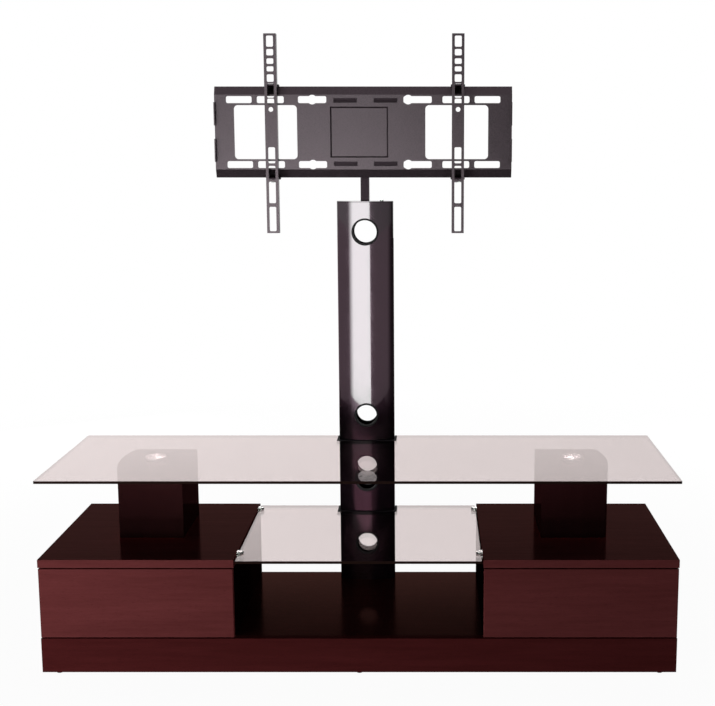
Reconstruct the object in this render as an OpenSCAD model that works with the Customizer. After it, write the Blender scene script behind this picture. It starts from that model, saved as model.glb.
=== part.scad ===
// Television stand with a column and a slotted screen mount, in millimetres.
// Origin: middle of the footprint on the floor. +X to the right seen from the front, +Y to the back, +Z up.

/* [Overall] */
// Width of the glass top, the base and the pair of cabinets
overall_w = 1400; // [1340:10:1600]
// Depth of the base, the cabinets and the glass top
overall_d = 440; // [410:5:520]

/* [Base] */
// Height of the base board above the floor
base_h = 81; // [70:1:120]
// Thickness of the base board and the plinth rails
base_t = 18; // [16:1:25]
// Height of the floor glides under the plinth
glide_h = 3; // [2:0.5:8]
// Diameter of the floor glides
glide_d = 15; // [10:1:16]
// Distance from the middle of the base to each cross rail
cross_rail_x = 170; // [100:5:300]

/* [Cabinets] */
// Width of each cabinet
cabinet_w = 427.5; // [400:0.5:440]
// Height of each cabinet above the base board
cabinet_h = 180; // [165:1:240]
// Thickness of the cabinet sides and tops
cabinet_t = 18; // [15:1:22]
// Thickness of the cabinet backs
cabinet_back_t = 8; // [5:1:12]

/* [Drawers] */
// Thickness of the drawer fronts
front_t = 18; // [15:1:22]
// Gap above and below each drawer front
front_gap = 3; // [2:0.5:5]
// Gap at the ends of each drawer front
front_end_gap = 1; // [0.5:0.5:3]
// Gap between a closed drawer front and the cabinet sides
bumper_gap = 1.5; // [1:0.5:3]
// Radius of the finger groove behind the inner end of each front
finger_groove_r = 10; // [6:0.5:12]
// Chamfer on the inner end of each front
front_chamfer = 2; // [1:0.5:4]
// Height of the drawer sides
drawer_h = 110; // [70:1:118]
// Height of the drawer sides above the base board
drawer_lift = 14; // [8:1:20]
// Room between each drawer box and the cabinet back
drawer_back_gap = 24; // [12:1:40]
// Thickness of the drawer sides and backs
drawer_side_t = 12; // [10:1:16]
// Thickness of the drawer bottoms
drawer_bottom_t = 6; // [3:1:9]
// Height of the bottom's groove above the lower edge of the sides
bottom_lift = 10; // [6:1:16]
// Depth of the grooves that hold the bottom
groove_d = 5; // [3:0.5:7]
// Length of the runners
runner_l = 350; // [250:5:355]
// Height of the fixed runner channels
runner_h = 35; // [25:1:45]
// Space for a runner between the cabinet side and the drawer side
runner_w = 12.5; // [12:0.5:15]
// Sheet thickness of the runners
runner_t = 1.5; // [1:0.1:2]
// Play between the moving rail and the fixed channel
runner_play = 0.4; // [0.3:0.1:0.8]

/* [Pedestals] */
// Height of the pedestals on the cabinets
pedestal_h = 162.5; // [110:0.5:230]
// Distance from the end of the stand to the flat inner side of a pedestal
pedestal_inset = 289; // [270:1:360]
// Width of a pedestal at its front and back ends
pedestal_w = 147; // [100:1:180]
// Depth of a pedestal
pedestal_d = 193; // [120:1:220]
// Bow of the outer side of a pedestal
pedestal_bow = 14; // [4:1:30]
// Distance from the front of the cabinet to the pedestal
pedestal_setback = 158; // [60:1:180]
// Diameter of the chrome discs between the pedestals and the glass
disc_d = 50; // [30:1:80]
// Thickness of the chrome discs
disc_h = 8; // [4:0.5:15]
// Distance from the end of the stand to the middle of a disc
disc_inset = 209; // [200:1:240]
// Distance from the front of the cabinet to the middle of a disc
disc_setback = 255; // [220:1:260]
// Diameter of the stud below each disc
disc_stud_d = 8; // [6:1:12]
// Length of the stud below each disc
disc_stud_l = 22; // [10:1:40]

/* [Glass] */
// Thickness of the glass top and the glass shelf
glass_t = 6; // [5:0.5:10]
// Drop of the shelf's top below the cabinet tops
shelf_drop = 3; // [0:0.5:40]
// Gap between the shelf and the cabinet on each side
shelf_gap = 3; // [2.5:0.5:6]
// Distance from the back edge of the shelf to the back of the base
shelf_back_gap = 6; // [2:1:20]
// Gap between the column and the notch in the glass
notch_gap = 5.5; // [4:0.5:10]
// Width of the collar's lip under the glass
collar_lip_w = 1.5; // [1:0.5:4]
// Thickness of the collar's lip
collar_lip_t = 1.2; // [1:0.1:3]
// Width of each shelf clamp along the cabinet side
clamp_w = 16; // [12:1:28]
// Reach of each shelf clamp over the glass
clamp_reach = 14; // [12:1:30]
// Height of each clamp's jaw above and below the glass
clamp_jaw = 4.5; // [3:0.5:10]
// Distance from the front of the cabinets to the front clamps
clamp_front = 56; // [30:1:120]
// Distance from the back of the cabinets to the back clamps
clamp_back = 38; // [20:1:120]
// Diameter of the clamp screws
clamp_screw_d = 4; // [3:0.5:5]

/* [Column] */
// Height of the column above the base board
column_h = 941; // [800:1:1200]
// Width of the column
column_w = 135; // [120:1:160]
// Depth of the column at its middle
column_d = 50; // [46:1:60]
// Bow of the column's front
column_bow = 12; // [4:0.5:14]
// Radius of the column's front corners
column_corner_r = 6; // [5:0.5:9]
// Wall of the column
column_wall = 3; // [2:0.5:4]
// Distance from the back of the column to the back of the base
column_back_gap = 7; // [3:1:12]
// Thickness of the column's cap
cap_t = 3; // [2:0.5:6]
// Diameter of the top cable hole
top_hole_d = 60; // [40:1:64]
// Diameter of the lower cable holes
low_hole_d = 54; // [35:1:60]
// Height of the top cable hole above the base board
top_hole_z = 868; // [600:1:868]
// Height of the lowest cable hole above the base board
low_hole_z = 94.5; // [80:0.5:130]
// Spacing of the lower cable holes
low_hole_pitch = 163; // [100:1:170]
// Number of lower cable holes
low_holes = 3; // [1:1:3]
// Wall of the cable grommets
grommet_t = 2; // [1.5:0.5:3]
// Width of the grommets' flange round the hole
grommet_flange = 2.5; // [1.5:0.5:5]
// Thickness of the steel foot plate
foot_t = 8; // [5:1:12]
// Height of the foot plate's lug inside the column
foot_lug_h = 34; // [26:1:45]
// Thickness of the foot plate's lug
foot_lug_t = 10; // [6:1:14]
// Diameter of the foot bolts
foot_bolt_d = 8; // [6:1:10]
// Diameter of the screws in the back of the column
column_screw_d = 5; // [4:0.5:6]
// Length of the screws behind the column's back cover
column_screw_l = 9; // [6:1:12]

/* [Mast] */
// Width of the mast
mast_w = 20; // [16:1:30]
// Depth of the mast
mast_d = 26; // [20:1:28]
// Wall of the mast
mast_t = 2.5; // [1.5:0.5:4]
// Play between the mast and its socket
mast_play = 0.25; // [0.2:0.05:0.6]
// Height of the socket that holds the mast
socket_h = 38; // [30:1:38]
// Height of the plate's lower edge above the column
plate_gap = 56.5; // [52:0.5:160]
// Thickness of the head plate
head_t = 5; // [4:0.5:8]
// Width of the head plate
head_w = 164; // [156:1:176]
// Thickness of the two webs of the head
head_web_t = 4; // [3:0.5:6]
// Diameter of the mast bolts
mast_bolt_d = 8; // [6:1:10]
// Distance from the middle of the column to the lock screw in its cap
lock_screw_x = 40; // [28:1:45]
// Diameter of the lock screw's head
lock_head_d = 8; // [6:0.5:12]
// Height of the lock screw's head
lock_head_h = 3; // [2:0.5:6]

/* [Plate] */
// Width of the mount plate
plate_w = 695; // [640:1:800]
// Height of the mount plate
plate_h = 210.5; // [208:0.5:220]
// Sheet thickness of the mount plate
plate_t = 2.5; // [2:0.5:3]
// Distance of the plate's face in front of the column
plate_forward = 29; // [24:1:40]
// Height of the slanted bands along the top and bottom
band_h = 19; // [12:0.5:20]
// Depth that the bands lean back
band_lean = 8; // [4:0.5:12]
// Height of the slots
slot_h = 16; // [10:1:17]
// Distance from the plate's edge to the upper edge of the slots
slot_edge = 22.4; // [21:0.1:24]
// Corner radius of the slots
slot_r = 4; // [2:0.5:5]
// Shift of the right inner slots away from the middle
inner_slot_shift = 8; // [0:1:12]
// Bulge radius of the two keyholed slots
keyhole_r = 11; // [9:0.5:12]
// Inner edge of each side cutout, from the middle of the plate
cutout_in = 150; // [120:1:170]
// Outer edge of each side cutout, from the middle of the plate
cutout_out = 297; // [250:1:305]
// Shift of both side cutouts to the left
cutout_shift = 5; // [0:1:8]
// Distance from the plate's edges to the side cutouts
cutout_edge = 43; // [42:0.5:60]
// Corner radius of the side cutouts
cutout_r = 9; // [4:1:20]
// Width of the recessed panel
recess_w = 137; // [110:1:140]
// Height of the recessed panel
recess_h = 119; // [90:1:122]
// Distance of the recessed panel to the left of the plate's middle
recess_shift = 10; // [0:1:12]
// Depth of the recessed panel
recess_d = 4; // [2:0.5:6]
// Width of the recessed panel's sloped sides
recess_slope = 4; // [1:0.5:6]
// Height of the interlock slots
lock_slot_h = 10.5; // [8:0.5:12]
// Reach of the end stops in front of the plate
stop_reach = 12; // [8:1:20]
// Height of each end stop
stop_h = 53; // [30:1:60]
// Spacing of the two end stops
stop_pitch = 84; // [70:1:100]

/* [Arms] */
// Distance from the middle of the plate to each arm
arm_x = 217; // [120:1:300]
// Distance that both arms rest to the right of that place
arm_shift = 4; // [0:1:10]
// Width of the arms
arm_w = 28.5; // [26:0.5:36]
// Depth of the arms
arm_d = 19; // [14:1:24]
// Sheet thickness of the arms
arm_t = 2.5; // [2:0.5:3]
// Length of the arms
arm_l = 457.5; // [456:0.5:520]
// Height of the arms' upper end above the plate
arm_rise = 118; // [100:1:160]
// Gap between the arms and the plate's face
arm_gap = 2; // [1:0.5:4]
// Width of the windows in the arms
window_w = 16; // [10:1:17]
// Corner radius of the windows
window_r = 3; // [1:0.5:5]
// Diameter of the round screw hole in each arm
arm_hole_d = 11; // [7:0.5:12]
// Distance from an arm's upper end to its round screw hole
arm_hole_drop = 171.5; // [170:0.5:240]
// Thickness of the hooks
hook_t = 4; // [3:0.5:5]
// Width of the hooks behind the plate
hook_w = 33; // [30:1:44]
// Overlap of the hooks behind the plate's edge
hook_drop = 14; // [8:1:17]
// Diameter of the hooks' lock screws
hook_screw_d = 6; // [4:1:8]
// Diameter of the lock screws' knobs
hook_knob_d = 14.4; // [10:0.2:18]
// Height of the lock screws' knobs
hook_knob_h = 7; // [4:0.5:12]

/* [Hidden] */
$fn = 64;
// Clearance round a plain fixed part in its seat
fit = 0.2;
// Clearance round a bolt or screw in its hole
bolt_fit = 0.25;
// Overrun of a cut past the face it leaves
over = 1;
// Corner to corner size of a hexagon head or nut, in bolt diameters
hex_across = 1.8;
// Height of a hexagon head or nut
hex_h = 5;
// Diameter of a washer, in bolt diameters
washer_across = 2.4;
// Thickness of a washer
washer_t = 1.6;
// Length of a bolt past its nut
bolt_end = 3;
// Height of the column screws' heads
screw_head_h = 2.4;
// Height of a grommet's flange on the column
grommet_skin = 1.2;
// Length of a grommet's sleeve behind the column's wall
grommet_sleeve = 5;
// Radius of the column's back corners
column_back_r = 1.5;
// Steps of the column's bow and of its front corners
bow_steps = 28;
corner_steps = 5;

// Spans of the arms' windows below their upper end
ARM_WINDOWS = [
    [5, 30], [35, 49.5], [56, 68.5], [74, 85.5], [92, 109], [113, 145], [147, 160.5],
    [258, 295], [301, 333], [337.5, 387.5], [396, 453]
];
// Spans of the plate's slots from its middle
SLOT_SPANS = [[260, 320], [185, 248], [86, 152]];

front_y = -overall_d / 2;
back_y = overall_d / 2;
outer_x = overall_w / 2;
inner_x = outer_x - cabinet_w;
rail_h = base_h - base_t - glide_h;
cabinet_top_z = base_h + cabinet_h;
carcass_y = front_y + front_t + bumper_gap;
carcass_h = cabinet_h - cabinet_t;

drawer_z = base_h + drawer_lift;
drawer_y = front_y + front_t;
drawer_box_d = back_y - cabinet_back_t - drawer_back_gap - drawer_y;
drawer_in_x = inner_x + cabinet_t + runner_w;
drawer_out_x = outer_x - cabinet_t - runner_w;
bottom_z = drawer_z + bottom_lift;
runner_z = drawer_z + drawer_h / 2;
runner_lip = runner_w - runner_t - runner_play;
rail_inner_h = runner_h - 2 * runner_t - 2 * runner_play;

pedestal_x = outer_x - pedestal_inset;
pedestal_y = front_y + pedestal_setback;
pedestal_top_z = cabinet_top_z + pedestal_h;
pedestal_arc_r = (pedestal_d * pedestal_d / 4 + pedestal_bow * pedestal_bow) / (2 * pedestal_bow);
disc_x = outer_x - disc_inset;
disc_y = front_y + disc_setback;
glass_z = pedestal_top_z + disc_h;
shelf_z = cabinet_top_z - shelf_drop - glass_t;
shelf_half_w = inner_x - shelf_gap;

column_back_y = back_y - column_back_gap;
column_front_y = column_back_y - column_d;
column_top_z = base_h + column_h;
shell_top_z = column_top_z - cap_t;
column_arc_r = (column_w * column_w / 4 + column_bow * column_bow) / (2 * column_bow);
cover_y = column_back_y - column_wall;
mast_y = column_back_y - column_d / 2;
column_screw_x = column_w / 3;
// Drop of the lower column screws below the top of the foot plate's lug
foot_screw_drop = 8;
foot_screw_z = base_h + foot_lug_h - foot_screw_drop;
// Shift of the foot bolts to the front of the column's middle
foot_bolt_shift = 3;
foot_bolt_y = mast_y - foot_bolt_shift;
socket_z = shell_top_z - socket_h;
socket_screw_z = socket_z + socket_h / 2;
lock_screw_z = socket_z + socket_h / 3;
HOLES = concat(
    [for (i = [0 : low_holes - 1]) [base_h + low_hole_z + i * low_hole_pitch, low_hole_d]],
    [[base_h + top_hole_z, top_hole_d]]
);

plate_z = column_top_z + plate_gap;
plate_top_z = plate_z + plate_h;
plate_y = column_front_y - plate_forward;
recess_z = plate_z + plate_h / 2 - recess_h / 2;
head_y = plate_y + recess_d + plate_t;
// Drop of the interlock slots' edge below the other slots' edge
lock_slot_drop = 4.5;
// Distance of the interlock slots from the middle between them
lock_slot_in = 19.5;
// Width of the interlock slots
lock_slot_w = 55;
// Distance of the middle between them to the right of the plate's middle
lock_slot_shift = 5;
// Distance from a tab's end to the end of its slot
lock_tab_inset = 2.5;
lock_slot_edge = slot_edge + lock_slot_drop;
head_z = plate_z + lock_slot_edge - head_t;
head_h = plate_h - 2 * lock_slot_edge + 2 * head_t;
// Drop of the mast's top below the head plate's top
mast_top_drop = 6;
mast_top_z = head_z + head_h - mast_top_drop;
MAST_BOLT_Z = [head_z + head_h / 4, head_z + head_h * 3 / 4];

arm_top_z = plate_top_z + arm_rise;
arm_back_y = plate_y - arm_gap;
arm_y = arm_back_y - arm_d;
// Gap between a hook and the plate's edge, and behind the plate
hook_rest_gap = 0.3;
hook_play = 2;
hook_back_y = plate_y + band_lean + plate_t + hook_play;
hook_screw_y = plate_y + band_lean + plate_t / 2;

WOOD = [0.33, 0.16, 0.15];
DARK_WOOD = [0.17, 0.08, 0.07];
BOX_WOOD = [0.62, 0.5, 0.38];
GLASS = [0.75, 0.66, 0.65, 0.6];
BLACK_GLOSS = [0.12, 0.11, 0.12];
BLACK = [0.05, 0.05, 0.05];
DARK_STEEL = [0.38, 0.35, 0.37];
CHROME = [0.8, 0.8, 0.82];
ZINC = [0.65, 0.66, 0.68];

// General shapes

module box(x, y, z) {
    // x, y and z are [low, high] spans
    translate([x[0], y[0], z[0]])
        cube([x[1] - x[0], y[1] - y[0], z[1] - z[0]]);
}

module rod(d, y0, y1) {
    // A round bar along Y, about the local origin
    translate([0, y0, 0])
        rotate([-90, 0, 0])
            cylinder(d = d, h = y1 - y0);
}

module cross_rod(d, x0, x1) {
    // A round bar along X, about the local origin
    translate([x0, 0, 0])
        rotate([0, 90, 0])
            cylinder(d = d, h = x1 - x0);
}

module mirrored() {
    // A piece and its twin on the other side of the stand
    children();
    mirror([1, 0, 0])
        children();
}

module rounded_window(x, z, r) {
    // Flat outline over the spans x and z with round corners
    w = x[1] - x[0];
    h = z[1] - z[0];
    rr = min(r, w / 2 - 0.1, h / 2 - 0.1);
    translate([x[0] + rr, z[0]])
        square([w - 2 * rr, h]);
    translate([x[0], z[0] + rr])
        square([w, h - 2 * rr]);
    for (cx = [x[0] + rr, x[1] - rr], cz = [z[0] + rr, z[1] - rr])
        translate([cx, cz])
            circle(r = rr);
}

module through_y(y0, y1) {
    // Stands an outline drawn in X and Z upright between two depths
    translate([0, y1, 0])
        rotate([90, 0, 0])
            linear_extrude(height = y1 - y0)
                children();
}

// Base

module base_board() {
    color(WOOD)
        difference() {
            box([-outer_x + base_t, outer_x - base_t], [front_y + base_t, back_y], [base_h - base_t, base_h]);
            at_foot_bolts()
                translate([0, 0, base_h - base_t - over])
                    cylinder(d = foot_bolt_d + 2 * bolt_fit, h = base_t + 2 * over);
        }
}

module plinth_front() {
    color(WOOD)
        box([-outer_x, outer_x], [front_y, front_y + base_t], [glide_h, base_h]);
}

module plinth_end() {
    color(WOOD)
        box([outer_x - base_t, outer_x], [front_y + base_t, back_y], [glide_h, base_h]);
}

module plinth_back() {
    color(WOOD)
        box([-outer_x + base_t, outer_x - base_t], [back_y - base_t, back_y], [glide_h, glide_h + rail_h]);
}

module plinth_cross_rails() {
    color(BOX_WOOD)
        mirrored()
            translate([cross_rail_x, 0, 0])
                box([0, base_t], [front_y + base_t, back_y - base_t], [glide_h, glide_h + rail_h]);
}

module floor_glides() {
    glide_x = outer_x - 2 * base_t;
    color(BLACK)
        for (x = [-glide_x, 0, glide_x], y = [front_y + base_t / 2, back_y - base_t / 2])
            translate([x, y, 0])
                cylinder(d = glide_d, h = glide_h);
}

// Cabinets, drawn for the right hand side

module cabinet_side(x) {
    color(WOOD)
        box([x, x + cabinet_t], [carcass_y, back_y], [base_h, base_h + carcass_h]);
}

module cabinet_top() {
    color(WOOD)
        box([inner_x, outer_x], [front_y, back_y], [cabinet_top_z - cabinet_t, cabinet_top_z]);
}

module cabinet_back() {
    color(DARK_WOOD)
        box([inner_x + cabinet_t, outer_x - cabinet_t], [back_y - cabinet_back_t, back_y],
            [base_h, base_h + carcass_h]);
}

module channel(lip, h, l) {
    // A sheet channel along Y with its web at x = 0 and its lips towards +X
    difference() {
        box([0, lip], [0, l], [-h / 2, h / 2]);
        box([runner_t, lip + over], [-over, l + over], [-h / 2 + runner_t, h / 2 - runner_t]);
    }
}

module runner_channels() {
    color(ZINC) {
        translate([inner_x + cabinet_t, carcass_y, runner_z])
            channel(runner_lip, runner_h, runner_l);
        translate([outer_x - cabinet_t, carcass_y, runner_z])
            mirror([1, 0, 0])
                channel(runner_lip, runner_h, runner_l);
    }
}

// Drawers, drawn for the right hand side

module drawer_front() {
    x0 = inner_x + front_end_gap;
    x1 = outer_x - front_end_gap;
    z0 = base_h + front_gap;
    z1 = cabinet_top_z - cabinet_t - front_gap;
    color(WOOD)
        difference() {
            translate([0, 0, z0])
                linear_extrude(height = z1 - z0)
                    polygon([
                        [x0 + front_chamfer, front_y], [x1, front_y], [x1, drawer_y],
                        [x0, drawer_y], [x0, front_y + front_chamfer]
                    ]);
            translate([x0, drawer_y, z0 - over])
                cylinder(r = finger_groove_r, h = z1 - z0 + 2 * over);
        }
}

module drawer_side() {
    // Outer face at x = 0, groove on the side towards +X
    difference() {
        box([0, drawer_side_t], [drawer_y, drawer_y + drawer_box_d], [drawer_z, drawer_z + drawer_h]);
        box([drawer_side_t - groove_d, drawer_side_t + over],
            [drawer_y - over, drawer_y + drawer_box_d + over],
            [bottom_z, bottom_z + drawer_bottom_t + fit]);
    }
}

module drawer_sides() {
    color(BOX_WOOD) {
        translate([drawer_in_x, 0, 0])
            drawer_side();
        translate([drawer_out_x, 0, 0])
            mirror([1, 0, 0])
                drawer_side();
    }
}

module drawer_back() {
    y1 = drawer_y + drawer_box_d;
    color(BOX_WOOD)
        box([drawer_in_x + drawer_side_t, drawer_out_x - drawer_side_t], [y1 - drawer_side_t, y1],
            [bottom_z + drawer_bottom_t, drawer_z + drawer_h]);
}

module drawer_bottom() {
    inset = drawer_side_t - groove_d + fit;
    color(BOX_WOOD)
        box([drawer_in_x + inset, drawer_out_x - inset], [drawer_y, drawer_y + drawer_box_d],
            [bottom_z, bottom_z + drawer_bottom_t]);
}

module runner_rails() {
    color(ZINC) {
        translate([drawer_in_x, drawer_y, runner_z])
            mirror([1, 0, 0])
                channel(runner_lip, rail_inner_h, runner_l);
        translate([drawer_out_x, drawer_y, runner_z])
            channel(runner_lip, rail_inner_h, runner_l);
    }
}

// Pedestals, drawn for the right hand side

module pedestal() {
    arc_x = pedestal_x + pedestal_w + pedestal_bow - pedestal_arc_r;
    color(DARK_WOOD)
        difference() {
            translate([0, 0, cabinet_top_z])
                linear_extrude(height = pedestal_h)
                    intersection() {
                        translate([pedestal_x, pedestal_y])
                            square([pedestal_w + pedestal_bow, pedestal_d]);
                        translate([arc_x, pedestal_y + pedestal_d / 2])
                            circle(r = pedestal_arc_r, $fn = 180);
                    }
            translate([disc_x, disc_y, pedestal_top_z - disc_stud_l - over])
                cylinder(d = disc_stud_d + 2 * bolt_fit, h = disc_stud_l + 2 * over);
        }
}

module glass_disc() {
    edge = 1;
    color(CHROME)
        translate([disc_x, disc_y, pedestal_top_z]) {
            rotate_extrude()
                polygon([
                    [0, 0], [disc_d / 2 - edge, 0], [disc_d / 2, edge], [disc_d / 2, disc_h - edge],
                    [disc_d / 2 - edge, disc_h], [0, disc_h]
                ]);
            translate([0, 0, -disc_stud_l])
                cylinder(d = disc_stud_d, h = disc_stud_l + edge);
        }
}

// Glass

module glass_notch() {
    half = column_w / 2 + notch_gap;
    translate([-half, column_front_y - notch_gap])
        square([2 * half, overall_d]);
}

module glass_top() {
    color(GLASS)
        translate([0, 0, glass_z])
            linear_extrude(height = glass_t)
                difference() {
                    translate([-outer_x, front_y])
                        square([overall_w, overall_d]);
                    glass_notch();
                }
}

module glass_shelf() {
    color(GLASS)
        translate([0, 0, shelf_z])
            linear_extrude(height = glass_t)
                difference() {
                    translate([-shelf_half_w, front_y])
                        square([2 * shelf_half_w, overall_d - shelf_back_gap]);
                    glass_notch();
                }
}

module collar(z, end_y) {
    // A trim that fills the gap between the notch and the column, flush with the glass, with a lip below it
    half = column_w / 2 + notch_gap;
    y0 = column_front_y - notch_gap;
    z0 = z - fit - collar_lip_t;
    color(BLACK)
        difference() {
            union() {
                box([-half + fit, half - fit], [y0 + fit, end_y], [z0, z + glass_t]);
                box([-half - collar_lip_w, half + collar_lip_w], [y0 - collar_lip_w, end_y],
                    [z0, z0 + collar_lip_t]);
            }
            translate([0, 0, z0 - over])
                linear_extrude(height = z + glass_t - z0 + 2 * over) {
                    column_outline(fit);
                    translate([-column_w / 2 - fit, mast_y])
                        square([column_w + 2 * fit, overall_d]);
                }
        }
}

module shelf_clamp() {
    // One clamp about its middle, with the cabinet side at x = inner_x
    x0 = inner_x - clamp_reach;
    z0 = shelf_z - clamp_jaw;
    z1 = shelf_z + glass_t + clamp_jaw;
    difference() {
        translate([0, 0, z0])
            linear_extrude(height = z1 - z0) {
                translate([x0 + clamp_w / 2, -clamp_w / 2])
                    square([clamp_reach - clamp_w / 2, clamp_w]);
                intersection() {
                    translate([x0 + clamp_w / 2, 0])
                        circle(d = clamp_w);
                    translate([x0, -clamp_w / 2])
                        square([clamp_w / 2, clamp_w]);
                }
            }
        box([x0 - over, shelf_half_w + fit], [-clamp_w, clamp_w], [shelf_z - fit, shelf_z + glass_t + fit]);
        translate([x0 + clamp_w / 2, 0, z0 - over])
            cylinder(d = clamp_screw_d + 2 * bolt_fit, h = clamp_jaw + 2 * over);
    }
}

module at_clamps() {
    for (y = [front_y + clamp_front, back_y - clamp_back])
        translate([0, y, 0])
            mirrored()
                children();
}

module shelf_clamps() {
    color(CHROME)
        at_clamps()
            shelf_clamp();
}

module clamp_screws() {
    color(ZINC)
        at_clamps()
            translate([inner_x - clamp_reach + clamp_w / 2, 0, shelf_z - clamp_jaw])
                cylinder(d = clamp_screw_d, h = clamp_jaw);
}

// Column

function arc_points(cx, cy, r, a0, a1, n) =
    [for (i = [0 : n]) [cx + r * cos(a0 + (a1 - a0) * i / n), cy + r * sin(a0 + (a1 - a0) * i / n)]];

module column_outline(grow) {
    // The column's plan, bowed at the front, grown outwards by a distance
    half = column_w / 2;
    arc_y = column_front_y + column_arc_r;
    r = column_corner_r;
    corner_x = half - r;
    corner_y = arc_y - sqrt(pow(column_arc_r - r, 2) - corner_x * corner_x);
    turn = atan2(corner_y - arc_y, corner_x);
    first = turn * corner_steps / (corner_steps + 1);
    polygon(concat(
        arc_points(0, arc_y, column_arc_r + grow, -180 - turn, turn, bow_steps),
        arc_points(corner_x, corner_y, r + grow, first, 0, corner_steps),
        back_corner(half, grow, 0),
        back_corner(-half, grow, 90),
        arc_points(-corner_x, corner_y, r + grow, 180, 180 - first, corner_steps)
    ));
}

// A back corner of the column's plan at x, round outside and square inside
function back_corner(x, grow, a0) =
    let (s = sign(x))
    grow < 0
        ? [[x + s * grow, column_back_y + grow]]
        : arc_points(x - s * column_back_r, column_back_y - column_back_r, column_back_r + grow,
                     a0, a0 + 90, corner_steps);

module column_shell() {
    // The bowed front and the two sides, open at the back
    half = column_w / 2 - column_wall;
    color(BLACK_GLOSS)
        difference() {
            translate([0, 0, base_h])
                linear_extrude(height = shell_top_z - base_h)
                    difference() {
                        column_outline(0);
                        column_outline(-column_wall);
                        translate([-half, mast_y])
                            square([2 * half, column_d]);
                    }
            for (hole = HOLES)
                translate([0, 0, hole[0]])
                    rod(hole[1], column_front_y - over, mast_y);
        }
}

module column_back_cover() {
    half = column_w / 2 - column_wall - fit;
    color(BLACK_GLOSS)
        difference() {
            box([-half, half], [cover_y, column_back_y], [base_h, shell_top_z]);
            for (hole = HOLES)
                translate([0, 0, hole[0]])
                    rod(hole[1], cover_y - over, column_back_y + over);
            at_column_screws()
                rod(column_screw_d + 2 * bolt_fit, cover_y - over, column_back_y + over);
        }
}

module column_cap() {
    color(BLACK_GLOSS)
        difference() {
            translate([0, 0, shell_top_z])
                linear_extrude(height = cap_t)
                    difference() {
                        column_outline(0);
                        mast_opening();
                    }
            translate([lock_screw_x, mast_y, shell_top_z - over])
                cylinder(d = column_screw_d + 2 * bolt_fit, h = cap_t + 2 * over);
        }
}

module mast_opening() {
    translate([-mast_w / 2 - mast_play, mast_y - mast_d / 2 - mast_play])
        square([mast_w + 2 * mast_play, mast_d + 2 * mast_play]);
}

module mast_socket() {
    // The block inside the column's top that the mast slides and clamps in
    color(ZINC)
        difference() {
            translate([0, 0, socket_z])
                linear_extrude(height = socket_h)
                    difference() {
                        column_outline(-column_wall - fit);
                        mast_opening();
                    }
            translate([lock_screw_x, mast_y, lock_screw_z])
                cylinder(d = column_screw_d + 2 * bolt_fit, h = socket_h);
            at_column_screws()
                rod(column_screw_d + 2 * bolt_fit, cover_y - 1.5 * column_screw_l, column_back_y);
        }
}

module mast_lock_screw() {
    color(ZINC)
        translate([lock_screw_x, mast_y, 0]) {
            translate([0, 0, column_top_z])
                cylinder(d = lock_head_d, h = lock_head_h);
            translate([0, 0, lock_screw_z])
                cylinder(d = column_screw_d, h = column_top_z - lock_screw_z);
        }
}

module column_foot() {
    lug_y = cover_y - fit;
    half = column_screw_x + foot_lug_t;
    color(ZINC)
        difference() {
            union() {
                translate([0, 0, base_h])
                    linear_extrude(height = foot_t)
                        column_outline(-column_wall - fit);
                box([-half, half], [lug_y - foot_lug_t, lug_y], [base_h, base_h + foot_lug_h]);
            }
            at_foot_bolts()
                translate([0, 0, base_h - over])
                    cylinder(d = foot_bolt_d + 2 * bolt_fit, h = foot_t + 2 * over);
            at_column_screws()
                rod(column_screw_d + 2 * bolt_fit, lug_y - foot_lug_t - over, column_back_y);
        }
}

module at_foot_bolts() {
    for (x = [-column_w / 4, column_w / 4])
        translate([x, foot_bolt_y, 0])
            children();
}

module foot_bolts() {
    grip = washer_t + base_t + foot_t;
    color(ZINC)
        at_foot_bolts()
            translate([0, 0, base_h - base_t - washer_t]) {
                cylinder(d = washer_across * foot_bolt_d, h = washer_t);
                translate([0, 0, -hex_h])
                    cylinder(d = hex_across * foot_bolt_d, h = hex_h, $fn = 6);
                cylinder(d = foot_bolt_d, h = grip + hex_h + bolt_end);
                translate([0, 0, grip])
                    cylinder(d = hex_across * foot_bolt_d, h = hex_h, $fn = 6);
            }
}

module at_column_screws() {
    for (z = [foot_screw_z, socket_screw_z])
        translate([0, 0, z])
            mirrored()
                translate([column_screw_x, 0, 0])
                    children();
}

module column_screws() {
    color(ZINC)
        at_column_screws() {
            rod(2 * column_screw_d, column_back_y, column_back_y + screw_head_h);
            rod(column_screw_d, cover_y - column_screw_l, column_back_y + screw_head_h / 2);
        }
}

module grommet_front(d) {
    // A ring that follows the bowed wall, about the hole's axis
    y0 = column_front_y - grommet_skin - over;
    difference() {
        union() {
            intersection() {
                rod(d - 2 * fit, y0, column_front_y + column_wall + grommet_sleeve);
                grommet_band(grommet_skin);
            }
            difference() {
                intersection() {
                    rod(d + 2 * grommet_flange, y0, column_front_y + d / 4);
                    grommet_band(grommet_skin);
                }
                grommet_band(0);
            }
        }
        rod(d - 2 * grommet_t, y0 - over, column_front_y + d);
    }
}

module grommet_band(grow) {
    translate([0, 0, -top_hole_d])
        linear_extrude(height = 2 * top_hole_d)
            column_outline(grow);
}

module grommet_back(d) {
    difference() {
        union() {
            rod(d - 2 * fit, cover_y - over, column_back_y);
            rod(d + 2 * grommet_flange, column_back_y, column_back_y + grommet_skin);
        }
        rod(d - 2 * grommet_t, cover_y - 2 * over, column_back_y + grommet_skin + over);
    }
}

module cable_grommets() {
    color(BLACK)
        for (hole = HOLES)
            translate([0, 0, hole[0]]) {
                grommet_front(hole[1]);
                grommet_back(hole[1]);
            }
}

// Mast and head

module at_mast_bolts() {
    for (z = MAST_BOLT_Z)
        translate([0, mast_y, z])
            children();
}

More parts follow.
